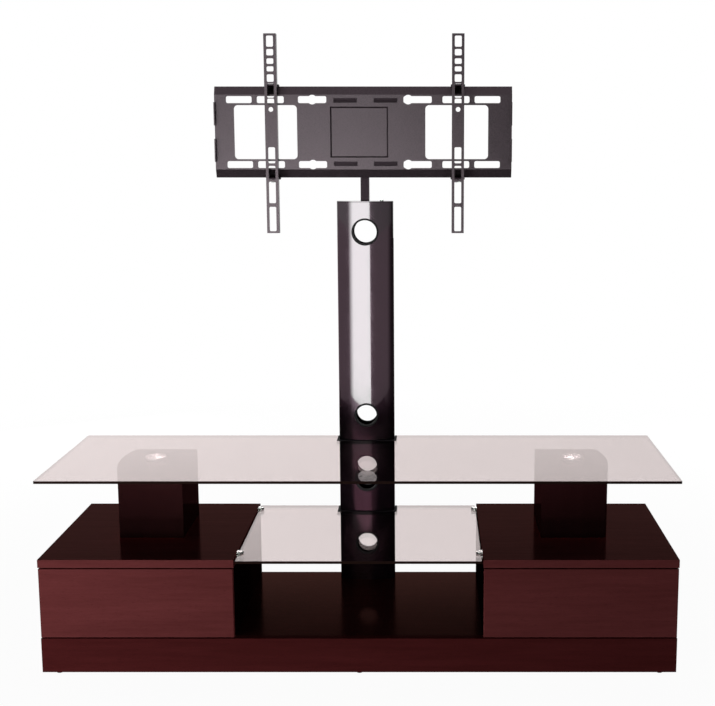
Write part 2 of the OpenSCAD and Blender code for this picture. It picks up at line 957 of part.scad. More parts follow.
module mast() {
    half = mast_w / 2;
    color(BLACK_GLOSS)
        difference() {
            box([-half, half], [mast_y - mast_d / 2, mast_y + mast_d / 2], [socket_z, mast_top_z]);
            box([-half + mast_t, half - mast_t], [mast_y - mast_d / 2 + mast_t, mast_y + mast_d / 2 - mast_t],
                [socket_z - over, mast_top_z + over]);
            at_mast_bolts()
                cross_rod(mast_bolt_d + 2 * bolt_fit, -mast_w, mast_w);
        }
}

module lock_tab(x, z) {
    // A tab that reaches from the head into a slot of the plate
    box([x + lock_tab_inset, x + lock_slot_w - lock_tab_inset], [plate_y + plate_t / 4, head_y + head_t],
        [z, z + head_t]);
}

module mast_head() {
    web_y = mast_y + mast_d / 2;
    color(BLACK_GLOSS)
        difference() {
            union() {
                box([-head_w / 2, head_w / 2], [head_y, head_y + head_t], [head_z, head_z + head_h]);
                translate([lock_slot_shift, 0, 0])
                    mirrored() {
                        lock_tab(lock_slot_in, plate_top_z - lock_slot_edge - head_t);
                        lock_tab(lock_slot_in, plate_z + lock_slot_edge + lock_slot_h - head_t);
                    }
                mirrored()
                    translate([mast_w / 2, 0, 0])
                        rotate([90, 0, 90])
                            linear_extrude(height = head_web_t)
                                polygon([
                                    [head_y, head_z], [web_y, head_z + head_h / 8],
                                    [web_y, mast_top_z - head_h / 12], [head_y, mast_top_z]
                                ]);
            }
            at_mast_bolts()
                cross_rod(mast_bolt_d + 2 * bolt_fit, -mast_w, mast_w);
        }
}

module mast_bolts() {
    reach = mast_w / 2 + head_web_t;
    color(ZINC)
        at_mast_bolts() {
            cross_rod(mast_bolt_d, -reach, reach + hex_h + bolt_end);
            for (x = [-reach - hex_h, reach])
                translate([x, 0, 0])
                    rotate([0, 90, 0])
                        cylinder(d = hex_across * mast_bolt_d, h = hex_h, $fn = 6);
        }
}

// Mount plate

module plate_profile() {
    // The folded sheet seen from its end, as depth and height
    polygon([
        [band_lean, 0], [0, band_h], [0, plate_h - band_h], [band_lean, plate_h],
        [band_lean + plate_t, plate_h], [plate_t, plate_h - band_h], [plate_t, band_h],
        [band_lean + plate_t, 0]
    ]);
}

module slot_row(z0) {
    // One row of slots, with the lower edge at z0: a keyhole on the right and a bulge on the left
    inner = SLOT_SPANS[2];
    for (span = SLOT_SPANS, s = [-1, 1])
        translate([span == inner && s > 0 ? inner_slot_shift : 0, 0])
            rounded_window([min(s * span[0], s * span[1]), max(s * span[0], s * span[1])],
                           [z0, z0 + slot_h], slot_r);
    translate([inner[0] + inner_slot_shift + keyhole_r, z0 + slot_h / 2])
        circle(r = keyhole_r);
    translate([-(inner[0] + inner[1]) / 2, z0 + slot_h / 2])
        circle(r = keyhole_r);
}

module plate_cutouts() {
    slot_row(plate_z + slot_edge);
    slot_row(plate_top_z - slot_edge - slot_h);
    for (s = [-1, 1]) {
        translate([-cutout_shift, 0])
            rounded_window([min(s * cutout_in, s * cutout_out), max(s * cutout_in, s * cutout_out)],
                           [plate_z + cutout_edge, plate_top_z - cutout_edge], cutout_r);
        for (z = [plate_z + lock_slot_edge, plate_top_z - lock_slot_edge - lock_slot_h])
            translate([lock_slot_shift + (s > 0 ? lock_slot_in : -lock_slot_in - lock_slot_w), z])
                square([lock_slot_w, lock_slot_h]);
    }
}

module recess(y0, grow, y1) {
    // The recessed panel's sloped tray from y0 to y1, its outline grown at y0
    x = [-recess_shift - recess_w / 2 - grow, -recess_shift + recess_w / 2 + grow];
    z = [recess_z - grow, recess_z + recess_h + grow];
    slope = recess_slope;
    intersection() {
        translate([0, 0, z[0]])
            linear_extrude(height = z[1] - z[0])
                polygon([[x[0], y0], [x[1], y0], [x[1] - slope, y1], [x[0] + slope, y1]]);
        translate([x[0], 0, 0])
            rotate([90, 0, 90])
                linear_extrude(height = x[1] - x[0])
                    polygon([[y0, z[0]], [y0, z[1]], [y1, z[1] - slope], [y1, z[0] + slope]]);
    }
}

module mount_plate() {
    half = plate_w / 2;
    color(DARK_STEEL) {
        difference() {
            union() {
                translate([-half, plate_y, plate_z])
                    rotate([90, 0, 90])
                        linear_extrude(height = plate_w)
                            plate_profile();
                recess(plate_y + plate_t / 2, plate_t, plate_y + recess_d + plate_t);
                for (s = [-1, 1], dz = [-stop_pitch / 2, stop_pitch / 2])
                    translate([s > 0 ? half - plate_t : -half, plate_y - stop_reach,
                               plate_z + plate_h / 2 + dz - stop_h / 2])
                        cube([plate_t, stop_reach + plate_t / 2, stop_h]);
            }
            recess(plate_y - over, 0, plate_y + recess_d);
            through_y(plate_y - over, plate_y + plate_t + over)
                plate_cutouts();
        }
    }
}

// Arms, drawn for the right hand side

module arm_windows() {
    for (span = ARM_WINDOWS)
        rounded_window([arm_x - window_w / 2, arm_x + window_w / 2],
                       [arm_top_z - span[1], arm_top_z - span[0]], window_r);
    translate([arm_x, arm_top_z - arm_hole_drop])
        circle(d = arm_hole_d);
}

module arm() {
    x0 = arm_x - arm_w / 2;
    x1 = arm_x + arm_w / 2;
    z = [arm_top_z - arm_l, arm_top_z];
    color(DARK_STEEL)
        difference() {
            box([x0, x1], [arm_y, arm_back_y], z);
            box([x0 + arm_t, x1 - arm_t], [arm_y + arm_t, arm_back_y + over], [z[0] - over, z[1] + over]);
            through_y(arm_y - over, arm_y + arm_t + over)
                arm_windows();
        }
}

module hook(edge_z, s) {
    // A hook over the plate's edge at edge_z: s is 1 at the top and -1 at the bottom
    tongue = arm_w / 2 - arm_t - fit;
    z0 = edge_z + s * hook_rest_gap;
    z1 = z0 + s * hook_t;
    drop = edge_z - s * hook_drop;
    box([arm_x - tongue, arm_x + tongue], [arm_y + arm_t, hook_back_y + hook_t], [min(z0, z1), max(z0, z1)]);
    box([arm_x - hook_w / 2, arm_x + hook_w / 2], [arm_back_y + fit, hook_back_y + hook_t],
        [min(z0, z1), max(z0, z1)]);
    box([arm_x - hook_w / 2, arm_x + hook_w / 2], [hook_back_y, hook_back_y + hook_t],
        [min(drop, z1), max(drop, z1)]);
}

module arm_hooks() {
    color(BLACK_GLOSS) {
        hook(plate_top_z, 1);
        difference() {
            hook(plate_z, -1);
            translate([arm_x, hook_screw_y, plate_z - 2 * hook_t])
                cylinder(d = hook_screw_d + 2 * bolt_fit, h = 2 * hook_t);
        }
    }
}

module lock_screw() {
    color(ZINC)
        translate([arm_x, hook_screw_y, plate_z - hook_rest_gap - hook_t]) {
            cylinder(d = hook_screw_d, h = hook_t);
            translate([0, 0, -hook_knob_h])
                cylinder(d = hook_knob_d, h = hook_knob_h);
        }
}

module on_left() {
    mirror([1, 0, 0])
        children();
}

module at_right_arm() {
    translate([arm_shift, 0, 0])
        children();
}

module at_left_arm() {
    at_right_arm()
        on_left()
            children();
}

base_board();
plinth_front();
on_left() plinth_end();  // plinth_left
plinth_end();  // plinth_right
plinth_back();
plinth_cross_rails();
floor_glides();
on_left() cabinet_side(outer_x - cabinet_t);  // left_cabinet_outer_side
on_left() cabinet_side(inner_x);  // left_cabinet_inner_side
on_left() cabinet_top();  // left_cabinet_top
on_left() cabinet_back();  // left_cabinet_back
on_left() runner_channels();  // left_runner_channels
cabinet_side(outer_x - cabinet_t);  // right_cabinet_outer_side
cabinet_side(inner_x);  // right_cabinet_inner_side
cabinet_top();  // right_cabinet_top
cabinet_back();  // right_cabinet_back
runner_channels();  // right_runner_channels
on_left() drawer_front();  // left_drawer_front
on_left() drawer_sides();  // left_drawer_sides
on_left() drawer_back();  // left_drawer_back
on_left() drawer_bottom();  // left_drawer_bottom
on_left() runner_rails();  // left_runner_rails
drawer_front();  // right_drawer_front
drawer_sides();  // right_drawer_sides
drawer_back();  // right_drawer_back
drawer_bottom();  // right_drawer_bottom
runner_rails();  // right_runner_rails
on_left() pedestal();  // left_pedestal
pedestal();  // right_pedestal
on_left() glass_disc();  // left_glass_disc
glass_disc();  // right_glass_disc
glass_top();
collar(glass_z, back_y);  // glass_top_collar
glass_shelf();
collar(shelf_z, back_y - shelf_back_gap);  // glass_shelf_collar
shelf_clamps();
clamp_screws();
column_shell();
column_back_cover();
column_foot();
foot_bolts();
cable_grommets();
column_cap();
mast_socket();
mast_lock_screw();
column_screws();
mast();
mast_head();
mast_bolts();
mount_plate();
at_left_arm() arm();  // left_arm
at_left_arm() arm_hooks();  // left_arm_hooks
at_left_arm() lock_screw();  // left_lock_screw
at_right_arm() arm();  // right_arm
at_right_arm() arm_hooks();  // right_arm_hooks
at_right_arm() lock_screw();  // right_lock_screw
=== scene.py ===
"""Dresses the packed television stand: finishes, rounded edges, fittings and a plain pale studio."""

import math

import bmesh
import bpy
from bpy.props import FloatProperty, FloatVectorProperty, IntProperty, PointerProperty
from mathutils import Matrix, Vector


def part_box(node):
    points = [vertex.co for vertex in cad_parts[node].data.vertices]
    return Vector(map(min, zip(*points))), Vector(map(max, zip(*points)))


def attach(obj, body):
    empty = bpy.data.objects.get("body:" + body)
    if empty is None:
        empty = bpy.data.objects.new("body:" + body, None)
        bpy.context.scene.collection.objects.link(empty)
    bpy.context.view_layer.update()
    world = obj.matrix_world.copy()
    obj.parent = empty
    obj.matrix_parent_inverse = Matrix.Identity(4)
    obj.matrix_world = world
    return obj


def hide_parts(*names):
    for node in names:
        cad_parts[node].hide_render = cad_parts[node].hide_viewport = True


bl_info = {
    "name": "Television stand with mount",
    "version": (1, 0, 0),
    "blender": (4, 5, 0),
    "location": "View3D > Sidebar > Stand",
    "description": "Finishes, edges and fittings of a television stand with a screen mount, and its studio",
    "category": "Object",
}

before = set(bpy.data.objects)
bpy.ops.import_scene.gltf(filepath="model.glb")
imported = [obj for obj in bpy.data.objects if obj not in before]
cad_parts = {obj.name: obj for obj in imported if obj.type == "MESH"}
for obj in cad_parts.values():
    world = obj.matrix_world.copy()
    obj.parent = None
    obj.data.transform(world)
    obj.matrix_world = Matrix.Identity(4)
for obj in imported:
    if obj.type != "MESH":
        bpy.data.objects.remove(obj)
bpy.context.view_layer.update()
MM = 0.001
SIDES = ("left", "right")
LOW_HOLE, TOP_HOLE = 54 * MM, 60 * MM
# Height and width of each cable hole in the column
HOLES = ((0.1755, LOW_HOLE), (0.3385, LOW_HOLE), (0.5015, LOW_HOLE), (0.949, TOP_HOLE))


# Sizes and colours


def length(name, text, value, low=0.0, high=1.0):
    """A length property in metres."""
    return FloatProperty(
        name=name, description=text, default=value, min=low, max=high, precision=4,
        subtype="DISTANCE", unit="LENGTH",
    )


def colour(name, text, value):
    """A colour property, linear."""
    return FloatVectorProperty(
        name=name, description=text, default=value, size=3, min=0.0, max=1.0, subtype="COLOR"
    )


def amount(name, text, value, high=100.0):
    """A plain number property."""
    return FloatProperty(name=name, description=text, default=value, min=0.0, max=high)


def count(name, text, value):
    """A whole number property."""
    return IntProperty(name=name, description=text, default=value, min=16, max=256)


class StandEdges(bpy.types.PropertyGroup):
    """How far each kind of edge is rounded."""

    board: length("Boards", "Rounding of the veneered boards' edges", 0.9 * MM, 0.0, 3 * MM)
    drawer_front: length("Drawer fronts", "Rounding of the drawer fronts' edges", 0.7 * MM, 0.0, 3 * MM)
    glass: length("Glass", "Polished arris of the glass edges", 0.35 * MM, 0.0, 2 * MM)
    sheet: length("Sheet metal", "Rounding of the plate's and the arms' edges", 0.35 * MM, 0.0, 1 * MM)
    cap: length("Cap", "Rounding of the column cap's upper edge", 0.7 * MM, 0.0, 1.5 * MM)


class StandColours(bpy.types.PropertyGroup):
    """Colours of the finishes."""

    cherry_light: colour("Cherry, light", "Light streaks of the cherry veneer", (0.122, 0.029, 0.030))
    cherry_dark: colour("Cherry, dark", "Dark streaks of the cherry veneer", (0.080, 0.0178, 0.0180))
    # The base board colours are darkened well below the cherry as painted shade in the bay between the
    # cabinets.
    board_light: colour("Base board, light", "Light streaks of the base board", (0.034, 0.0082, 0.0082))
    board_dark: colour("Base board, dark", "Dark streaks of the base board", (0.022, 0.0050, 0.0050))
    plinth_light: colour("Plinth, light", "Light streaks of the plinth's veneer", (0.068, 0.0120, 0.0125))
    plinth_dark: colour("Plinth, dark", "Dark streaks of the plinth's veneer", (0.042, 0.0070, 0.0072))
    # The pedestal colours are near black, far darker than the cherry, as painted shade under the glass top;
    # the cabinets' inner sides take them too, as painted shade in the bay.
    pedestal_light: colour("Pedestal, light", "Light streaks of the pedestals", (0.0070, 0.0022, 0.0023))
    pedestal_dark: colour("Pedestal, dark", "Dark streaks of the pedestals", (0.0035, 0.0011, 0.0012))
    back_light: colour("Back panel, light", "Light streaks of the back panels", (0.040, 0.0160, 0.0140))
    back_dark: colour("Back panel, dark", "Dark streaks of the back panels", (0.024, 0.0090, 0.0080))
    foil_light: colour("Foil, light", "Light lines of the drawer boxes' foil", (0.30, 0.20, 0.15))
    foil_dark: colour("Foil, dark", "Dark lines of the drawer boxes' foil", (0.19, 0.115, 0.08))
    glass: colour("Glass", "Tint that light takes on at each face of the glass", (0.84, 0.80, 0.80))
    glass_edge: colour("Glass edge", "Colour of the ground glass edges", (0.010, 0.005, 0.004))
    column: colour("Column", "Gloss paint of the column", (0.0034, 0.0015, 0.0028))
    plate: colour("Plate and arms", "Powder coat of the plate and the arms", (0.026, 0.0200, 0.0232))
    mast: colour("Mast and hooks", "Powder coat of the mast, its head and the hooks", (0.009, 0.005, 0.0075))
    plastic: colour("Plastic", "Collars, grommets and glides", (0.008, 0.007, 0.008))
    nickel: colour("Nickel", "Shelf clamps", (0.74, 0.73, 0.72))
    zinc: colour("Zinc", "Screws, bolts and runners", (0.58, 0.59, 0.60))
    chrome: colour("Chrome", "Discs under the glass top", (0.86, 0.86, 0.87))
    nylon: colour("Nylon", "Rollers and pads", (0.72, 0.71, 0.68))


class StandColumn(bpy.types.PropertyGroup):
    """Shape of the column's bowed front."""

    bow: length("Bow", "How far the front bows out", 12 * MM, 1 * MM, 20 * MM)
    corner: length("Corner", "Radius of the front corners", 6 * MM, 1 * MM, 12 * MM)
    back_corner: length("Back corner", "Radius of the back corners", 1.5 * MM, 0.2 * MM, 3 * MM)
    wall: length("Wall", "Wall of the column", 3 * MM, 1 * MM, 5 * MM)
    bow_steps: count("Bow steps", "Faces across the bow", 96)
    hole_steps: count("Hole steps", "Faces round a cable hole", 96)


class StandStudio(bpy.types.PropertyGroup):
    """Camera, lamps and reflected surroundings."""

    camera: FloatVectorProperty(
        name="Camera", description="Place of the camera", default=(0.1559, -2.8063, 1.1355),
        subtype="TRANSLATION", unit="LENGTH",
    )
    tilt: FloatProperty(
        name="Tilt", description="Turn of the camera up from straight down", default=math.radians(80.82),
        subtype="ANGLE", unit="ROTATION",
    )
    lens: FloatProperty(
        name="Lens", description="Focal length in millimetres", default=62.28, min=10.0, max=200.0,
    )
    shift: FloatProperty(
        name="Shift", description="Sideways shift of the lens", default=-0.1014, min=-1.0, max=1.0,
    )
    key: amount("Key", "Watts of the lamp at the left", 46.0, 500.0)
    fill: amount("Fill", "Watts of the lamp at the right", 10.0, 500.0)
    top: amount("Top", "Watts of the lamp above", 2.4, 500.0)
    behind: amount("Behind", "Watts of each lamp that the camera's side doesn't see", 34.0, 500.0)
    surround: amount("Surround", "Light from all sides", 0.02, 5.0)
    panel: amount("Light panel", "Brightness of the panel that the column mirrors", 16.2, 100.0)


def edges():
    """The scene's roundings."""
    return bpy.context.scene.stand_edges


def colours():
    """The scene's colours."""
    return bpy.context.scene.stand_colours


def studio():
    """The scene's camera, lamp and panel values."""
    return bpy.context.scene.stand_studio


# Materials


class Finish:
    """A new material, or a world, with short calls that add and join its nodes."""

    def __init__(self, name, world=None):
        self.material = world or bpy.data.materials.new(name)
        self.material.use_nodes = True
        self.tree = self.material.node_tree
        self.tree.nodes.clear()

    def add(self, kind, inputs=None, **settings):
        node = self.tree.nodes.new("ShaderNode" + kind)
        for key, value in settings.items():
            setattr(node, key, value)
        for key, value in (inputs or {}).items():
            self.feed(node.inputs[key], value)
        return node

    def feed(self, socket, value):
        if isinstance(value, bpy.types.NodeSocket):
            self.tree.links.new(value, socket)
        elif hasattr(socket.default_value, "__len__") and len(value) == 3 and len(socket.default_value) == 4:
            socket.default_value = (*value, 1.0)
        else:
            socket.default_value = value

    def math(self, operation, a, b=0.0, c=0.0, clamp=False):
        return self.add("Math", {0: a, 1: b, 2: c}, operation=operation, use_clamp=clamp).outputs[0]

    def times(self, first, *others):
        """The product of several values."""
        for other in others:
            first = self.math("MULTIPLY", first, other)
        return first

    def mix(self, factor, a, b):
        """A colour between two."""
        return self.add("Mix", {0: factor, 6: a, 7: b}, data_type="RGBA").outputs[2]

    def spread(self, value, low, high, to_low, to_high):
        """Goes from to_low to to_high while the value goes from low to high, and no further."""
        return self.add("MapRange", {0: value, 1: low, 2: high, 3: to_low, 4: to_high}).outputs[0]

    def rise(self, value, low, high):
        """From 0 to 1 between two values."""
        return self.spread(value, low, high, 0.0, 1.0)

    def fall(self, value, low, high):
        """From 1 to 0 between two values."""
        return self.spread(value, low, high, 1.0, 0.0)

    def wander(self, noise, to_low=0.0, to_high=1.0):
        """Goes from to_low to to_high over the values that most of a noise has."""
        return self.spread(noise, 0.3, 0.7, to_low, to_high)

    def place(self, scale=(1, 1, 1), shift=(0, 0, 0)):
        """Coordinates on the object in metres, stretched and shifted."""
        where = self.add("TexCoord").outputs["Object"]
        return self.add("Mapping", {"Vector": where, "Scale": scale, "Location": shift}).outputs[0]

    def along(self, axes, kind="Object"):
        """Single coordinates of a place on the object, or of a direction in the world."""
        parts = self.add("SeparateXYZ", {0: self.add("TexCoord").outputs[kind]}).outputs
        return [parts[axis] for axis in axes]

    def noise(self, place=None, scale=1.0, detail=3.0, rough=0.55, distortion=0.0):
        """Noise over a place, or over the object's own coordinates."""
        return self.add("TexNoise", {
            "Vector": place or self.place(), "Scale": scale, "Detail": detail, "Roughness": rough,
            "Distortion": distortion,
        }).outputs[0]

    def bump(self, height, strength, distance):
        return self.add("Bump", {"Height": height, "Strength": strength, "Distance": distance}).outputs[0]

    def ray(self, kind):
        """What the light path says of a ray."""
        return self.add("LightPath").outputs[kind]

    def rays(self):
        """Whether a ray shows the shader to the camera, and whether it only mirrors it."""
        seen = self.math("MAXIMUM", self.ray("Is Camera Ray"), self.ray("Is Transmission Ray"))
        return seen, self.times(self.ray("Is Glossy Ray"), self.math("SUBTRACT", 1.0, seen))

    def once(self, left):
        """Whole in the first mirror, and what is left of it in a mirror's mirror."""
        return self.spread(self.ray("Glossy Depth"), 1.0, 2.0, 1.0, left)

    def over(self, factor, under, upper):
        """Mixes two shader nodes."""
        return self.add("MixShader", {0: factor, 1: under.outputs[0], 2: upper.outputs[0]})

    def surface(self, shader, output="OutputMaterial"):
        """Ends the tree with a shader node."""
        self.tree.links.new(shader.outputs[0], self.add(output).inputs["Surface"])
        return self.material

    def solid(self, base, rough, relief, inputs):
        """Ends the tree with a solid surface."""
        inputs = {"Base Color": base, "Roughness": rough, "Normal": relief, **inputs}
        return self.surface(self.add("BsdfPrincipled", inputs))


def shade(tone, factor):
    """A colour made darker or lighter."""
    return [min(1.0, c * factor) for c in tone]


WHITE = (1.0, 1.0, 1.0)
# How much finer the grain is across than along, for each axis that it may follow
GRAIN = {"x": (1.0, 14.0, 14.0), "y": (14.0, 1.0, 14.0), "z": (14.0, 14.0, 1.0)}


def grained(f, along, fineness, shift=(0, 0, 0), **noise):
    """Noise that is drawn out along the grain."""
    return f.noise(f.place([fineness * s for s in GRAIN[along]], shift), **noise)


def streaks(wood):
    """Light and dark colour of a wood."""
    return [getattr(colours(), f"{wood}_{end}") for end in ("light", "dark")]


def veneer(name, wood, along, shift, lacquer=(0.115, 0.046, 0.042), sheen=(0.09, 0.17)):
    """Stained veneer with its grain along one axis, under a lacquer that mirrors by its angle."""
    f = Finish(name)
    light, dark = streaks(wood)
    figure = grained(f, along, 1.1, shift, scale=1.0, detail=3.0, rough=0.6, distortion=0.6)
    streak = grained(f, along, 4.5, shift, scale=1.6, detail=4.0, rough=0.62)
    fibre = grained(f, along, 26.0, shift, scale=2.2, detail=3.0, rough=0.7)
    pores = grained(f, along, 60.0, shift, scale=1.5, detail=2.0, rough=0.5)
    pattern = f.math("MULTIPLY_ADD", figure, 0.55, f.times(streak, 0.45))
    base = f.mix(f.rise(pattern, 0.34, 0.68), dark, light)
    base = f.mix(f.spread(fibre, 0.35, 0.65, 0.0, 0.28), base, dark)
    base = f.mix(f.spread(pores, 0.62, 0.70, 0.0, 0.35), base, shade(dark, 0.35))
    relief = f.bump(f.math("MULTIPLY_ADD", pores, -0.5, fibre), 0.10, 0.12 * MM)
    stain = f.add("BsdfPrincipled", {
        "Base Color": base, "Roughness": f.wander(fibre, 0.45, 0.6), "Specular IOR Level": 0.0,
        "Normal": relief,
    })
    wet = f.add("BsdfGlossy", {"Color": lacquer, "Roughness": f.wander(fibre, *sheen), "Normal": relief})
    mirror = f.add("Fresnel", {"IOR": 1.5, "Normal": relief}).outputs[0]
    return f.surface(f.over(mirror, stain, wet))


def foil(along, tag):
    """Printed wood foil of the drawer boxes."""
    f = Finish("wood foil " + tag)
    light, dark = streaks("foil")
    lines = grained(f, along, 3.0, (0.3, 0.1, 0.7), scale=3.0, detail=4.0, rough=0.65)
    fine = grained(f, along, 20.0, scale=3.0, detail=2.0)
    base = f.mix(f.rise(lines, 0.35, 0.65), dark, light)
    base = f.mix(f.spread(fine, 0.4, 0.7, 0.0, 0.2), base, dark)
    return f.solid(base, f.wander(fine, 0.5, 0.62), f.bump(fine, 0.08, 0.1 * MM), {"Specular IOR Level": 0.3})


def gloss_paint():
    """Black gloss paint with a trace of orange peel."""
    f = Finish("black gloss paint")
    black = colours().column
    peel = f.noise(scale=210.0, detail=2.0, rough=0.4)
    dust = f.noise(scale=38.0, detail=4.0, rough=0.6)
    base = f.mix(f.spread(dust, 0.45, 0.75, 0.0, 0.5), black, shade(black, 1.8))
    return f.solid(base, f.spread(dust, 0.3, 0.8, 0.10, 0.17), f.bump(peel, 0.04, 0.05 * MM), {
        "Specular IOR Level": 0.35, "Specular Tint": (1.0, 0.66, 0.86),
        "Coat Weight": 0.7, "Coat Roughness": 0.03, "Coat IOR": 1.5,
    })


def powder_coat(name, tone, rough, level, relief=0.22):
    """Fine textured powder coat."""
    f = Finish(name)
    fine = f.noise(scale=2600.0, detail=2.0, rough=0.5)
    wide = f.noise(scale=520.0, detail=3.0, rough=0.5)
    cloud = f.noise(scale=22.0, detail=3.0, rough=0.6)
    base = f.mix(f.rise(cloud, 0.35, 0.7), shade(tone, 0.88), shade(tone, 1.12))
    base = f.mix(f.spread(fine, 0.35, 0.7, 0.0, 0.18), base, shade(tone, 1.7))
    texture = f.bump(f.math("MULTIPLY_ADD", wide, 0.6, fine), relief, 0.08 * MM)
    gloss = {"Specular IOR Level": level, "Specular Tint": (1.0, 0.75, 0.88)}
    return f.solid(base, f.wander(wide, rough - 0.05, rough + 0.06), texture, gloss)


def moulded_plastic(name, tone, rough=0.5):
    """Moulded plastic with a fine spark texture."""
    f = Finish(name)
    sparks = f.noise(scale=3200.0, detail=2.0, rough=0.5)
    flow = f.noise(scale=60.0, detail=2.0, rough=0.5)
    base = f.mix(f.wander(flow), tone, shade(tone, 1.35))
    sheen = f.wander(sparks, rough - 0.06, rough + 0.08)
    return f.solid(base, sheen, f.bump(sparks, 0.15, 0.05 * MM), {"Specular IOR Level": 0.06})


def plated(name, tone, rough, spangle=0.0, brushed=None):
    """Plated metal: polished, satin or bright zinc."""
    f = Finish(name)
    wear = f.noise(scale=95.0, detail=4.0, rough=0.6)
    base = f.mix(f.rise(wear, 0.35, 0.75), tone, shade(tone, 0.86))
    if spangle:
        cells = f.add("TexVoronoi", {"Vector": f.place(), "Scale": 650.0}).outputs["Distance"]
        base = f.mix(f.math("MULTIPLY", cells, spangle, clamp=True), base, (0.50, 0.50, 0.42))
    lines = f.noise(f.place(brushed or (240.0, 240.0, 240.0)), detail=3.0, rough=0.6)
    relief = f.bump(lines, 0.05 if brushed else 0.02, 0.03 * MM)
    return f.solid(base, f.wander(lines, rough * 0.8, rough * 1.25), relief, {"Metallic": 1.0})


def turned_chrome():
    """Chrome over a turned face: fine rings round the disc's middle."""
    f = Finish("turned chrome")
    chrome = colours().chrome
    place = f.add("TexCoord").outputs["Generated"]
    middle = f.add("Mapping", {"Vector": place, "Location": (-0.5, -0.5, 0.0)}).outputs[0]
    rings = f.add(
        "TexWave", {"Vector": middle, "Scale": 13.0, "Distortion": 0.4, "Detail": 2.0},
        wave_type="RINGS", rings_direction="Z",
    ).outputs[1]
    wear = f.noise(scale=130.0, detail=3.0)
    base = f.mix(f.rise(wear, 0.35, 0.75), chrome, shade(chrome, 0.9))
    return f.solid(base, f.wander(wear, 0.27, 0.36), f.bump(rings, 0.8, 0.16 * MM), {"Metallic": 1.0})


def tinted_glass():
    """Bronze tinted plate glass: each face mirrors by its angle and tints what passes."""
    f = Finish("bronze tinted glass")
    tint = colours().glass
    facing_away = f.add("LayerWeight", {"Blend": 0.5}).outputs["Facing"]
    mirror = f.math("MULTIPLY_ADD", f.math("POWER", facing_away, 5.0), 1.95, 0.05, clamp=True)
    film = f.noise(f.place((3.0, 3.0, 3.0)), detail=3.0)
    through = f.add("BsdfTransparent", {"Color": f.mix(f.wander(film), tint, shade(tint, 0.985))})
    shine = f.add("BsdfGlossy", {"Color": (0.965, 0.864, 0.853), "Roughness": f.wander(film, 0.004, 0.02)})
    return f.surface(f.over(mirror, through, shine))


def ground_edge():
    """Ground glass edge: dark from outside, and clear to a ray that leaves the glass through it."""
    f = Finish("ground glass edge")
    dark = colours().glass_edge
    haze = f.noise(f.place((90.0, 90.0, 900.0)), detail=2.0)
    outside = f.add("BsdfPrincipled", {
        "Base Color": f.mix(f.wander(haze), dark, shade(dark, 1.6)), "Roughness": f.wander(haze, 0.30, 0.45),
        "Specular IOR Level": 0.02,
    })
    inside = f.add("BsdfTransparent", {"Color": shade(colours().glass, 0.42)})
    return f.surface(f.over(f.add("NewGeometry").outputs["Backfacing"], outside, inside))


MADE = {}


def finish(key):
    """One material for each finish, made the first time it is asked for."""
    if key not in MADE:
        c = colours()
        makers = {
            "foil x": lambda: foil("x", "across"),
            "foil y": lambda: foil("y", "deep"),
            "column": gloss_paint,
            "plate": lambda: powder_coat("dark grey powder coat", c.plate, 0.28, 0.195),
            "mast": lambda: powder_coat("black satin powder coat", c.mast, 0.34, 0.055, 0.16),
            "plastic": lambda: moulded_plastic("black moulded plastic", c.plastic),
            "nylon": lambda: moulded_plastic("white nylon", c.nylon, 0.42),
            "nickel": lambda: plated("satin nickel", c.nickel, 0.24),
            "zinc": lambda: plated("bright zinc", c.zinc, 0.36, 0.55),
            "rolled zinc": lambda: plated("rolled zinc sheet", c.zinc, 0.40, 0.4, (900.0, 6.0, 900.0)),
            "chrome": turned_chrome,
            "glass": tinted_glass,
            "glass edge": ground_edge,
        }
        MADE[key] = makers[key]()
    return MADE[key]


# Shapes


# A frame that neither turns nor moves
STRAIGHT = Matrix.Identity(4)
# Faces round turned parts: discs and rings, knobs and rollers, screw heads, studs, shanks
RING, KNOB, HEAD, STUD, SHANK = 96, 48, 40, 32, 24
# Cosine and sine along a quarter turn
QUARTER = [(math.cos(a), math.sin(a)) for a in (math.radians(22.5 * i) for i in range(5))]


def dress(node, material):
    """Gives a CAD node its material."""
    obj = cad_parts[node]
    if not obj.material_slots:
        obj.data.materials.append(material)
    for place in obj.material_slots:
        place.material = material
    return obj


def round_edges(obj, width, segments=2, angle=40.0, material=-1):
    """Rounds an object's sharp edges."""
    bevel = obj.modifiers.new("rounded edges", "BEVEL")
    bevel.width = width
    bevel.segments = segments
    bevel.limit_method = "ANGLE"
    bevel.angle_limit = math.radians(angle)
    bevel.harden_normals = False
    bevel.material = material


def place_new(name, data):
    """Adds an object to the scene."""
    obj = bpy.data.objects.new(name, data)
    bpy.context.scene.collection.objects.link(obj)
    return obj


def piece(name, mesh, body, materials, nodes=()):
    """Adds a mesh as a piece that rides on a body and may stand for CAD nodes."""
    obj = place_new(name, mesh)
    for material in materials:
        mesh.materials.append(material)
    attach(obj, body)
    if nodes:
        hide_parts(*nodes)
    return obj


def zinc_piece(name, bm, body, node):
    """Adds a screw or a bolt of bright zinc in place of a CAD node."""
    piece(name, smooth_mesh(bm, node), body, [finish("zinc")], [node])


def plain_mesh(bm, name):
    """Ends a bmesh as a mesh with all its faces turned outwards."""
    bmesh.ops.recalc_face_normals(bm, faces=bm.faces)
    mesh = bpy.data.meshes.new(name)
    bm.to_mesh(mesh)
    bm.free()
    return mesh


def smooth(mesh, angle):
    """Shades a mesh smooth but for its sharp edges."""
    mesh.shade_smooth()
    mesh.set_sharp_from_angle(angle=math.radians(angle))
    return mesh


def smooth_mesh(bm, name, angle=35.0):
    """Ends a bmesh as a mesh that is smooth but for its sharp edges."""
    return smooth(plain_mesh(bm, name), angle)


def circle(r, steps):
    """Points round a circle."""
    return [(r * math.cos(a), r * math.sin(a)) for a in (2 * math.pi * i / steps for i in range(steps))]


def level(bm, points, height, frame=STRAIGHT):
    """Adds plan points at a height."""
    return [bm.verts.new(frame @ Vector((x, y, height))) for x, y in points]


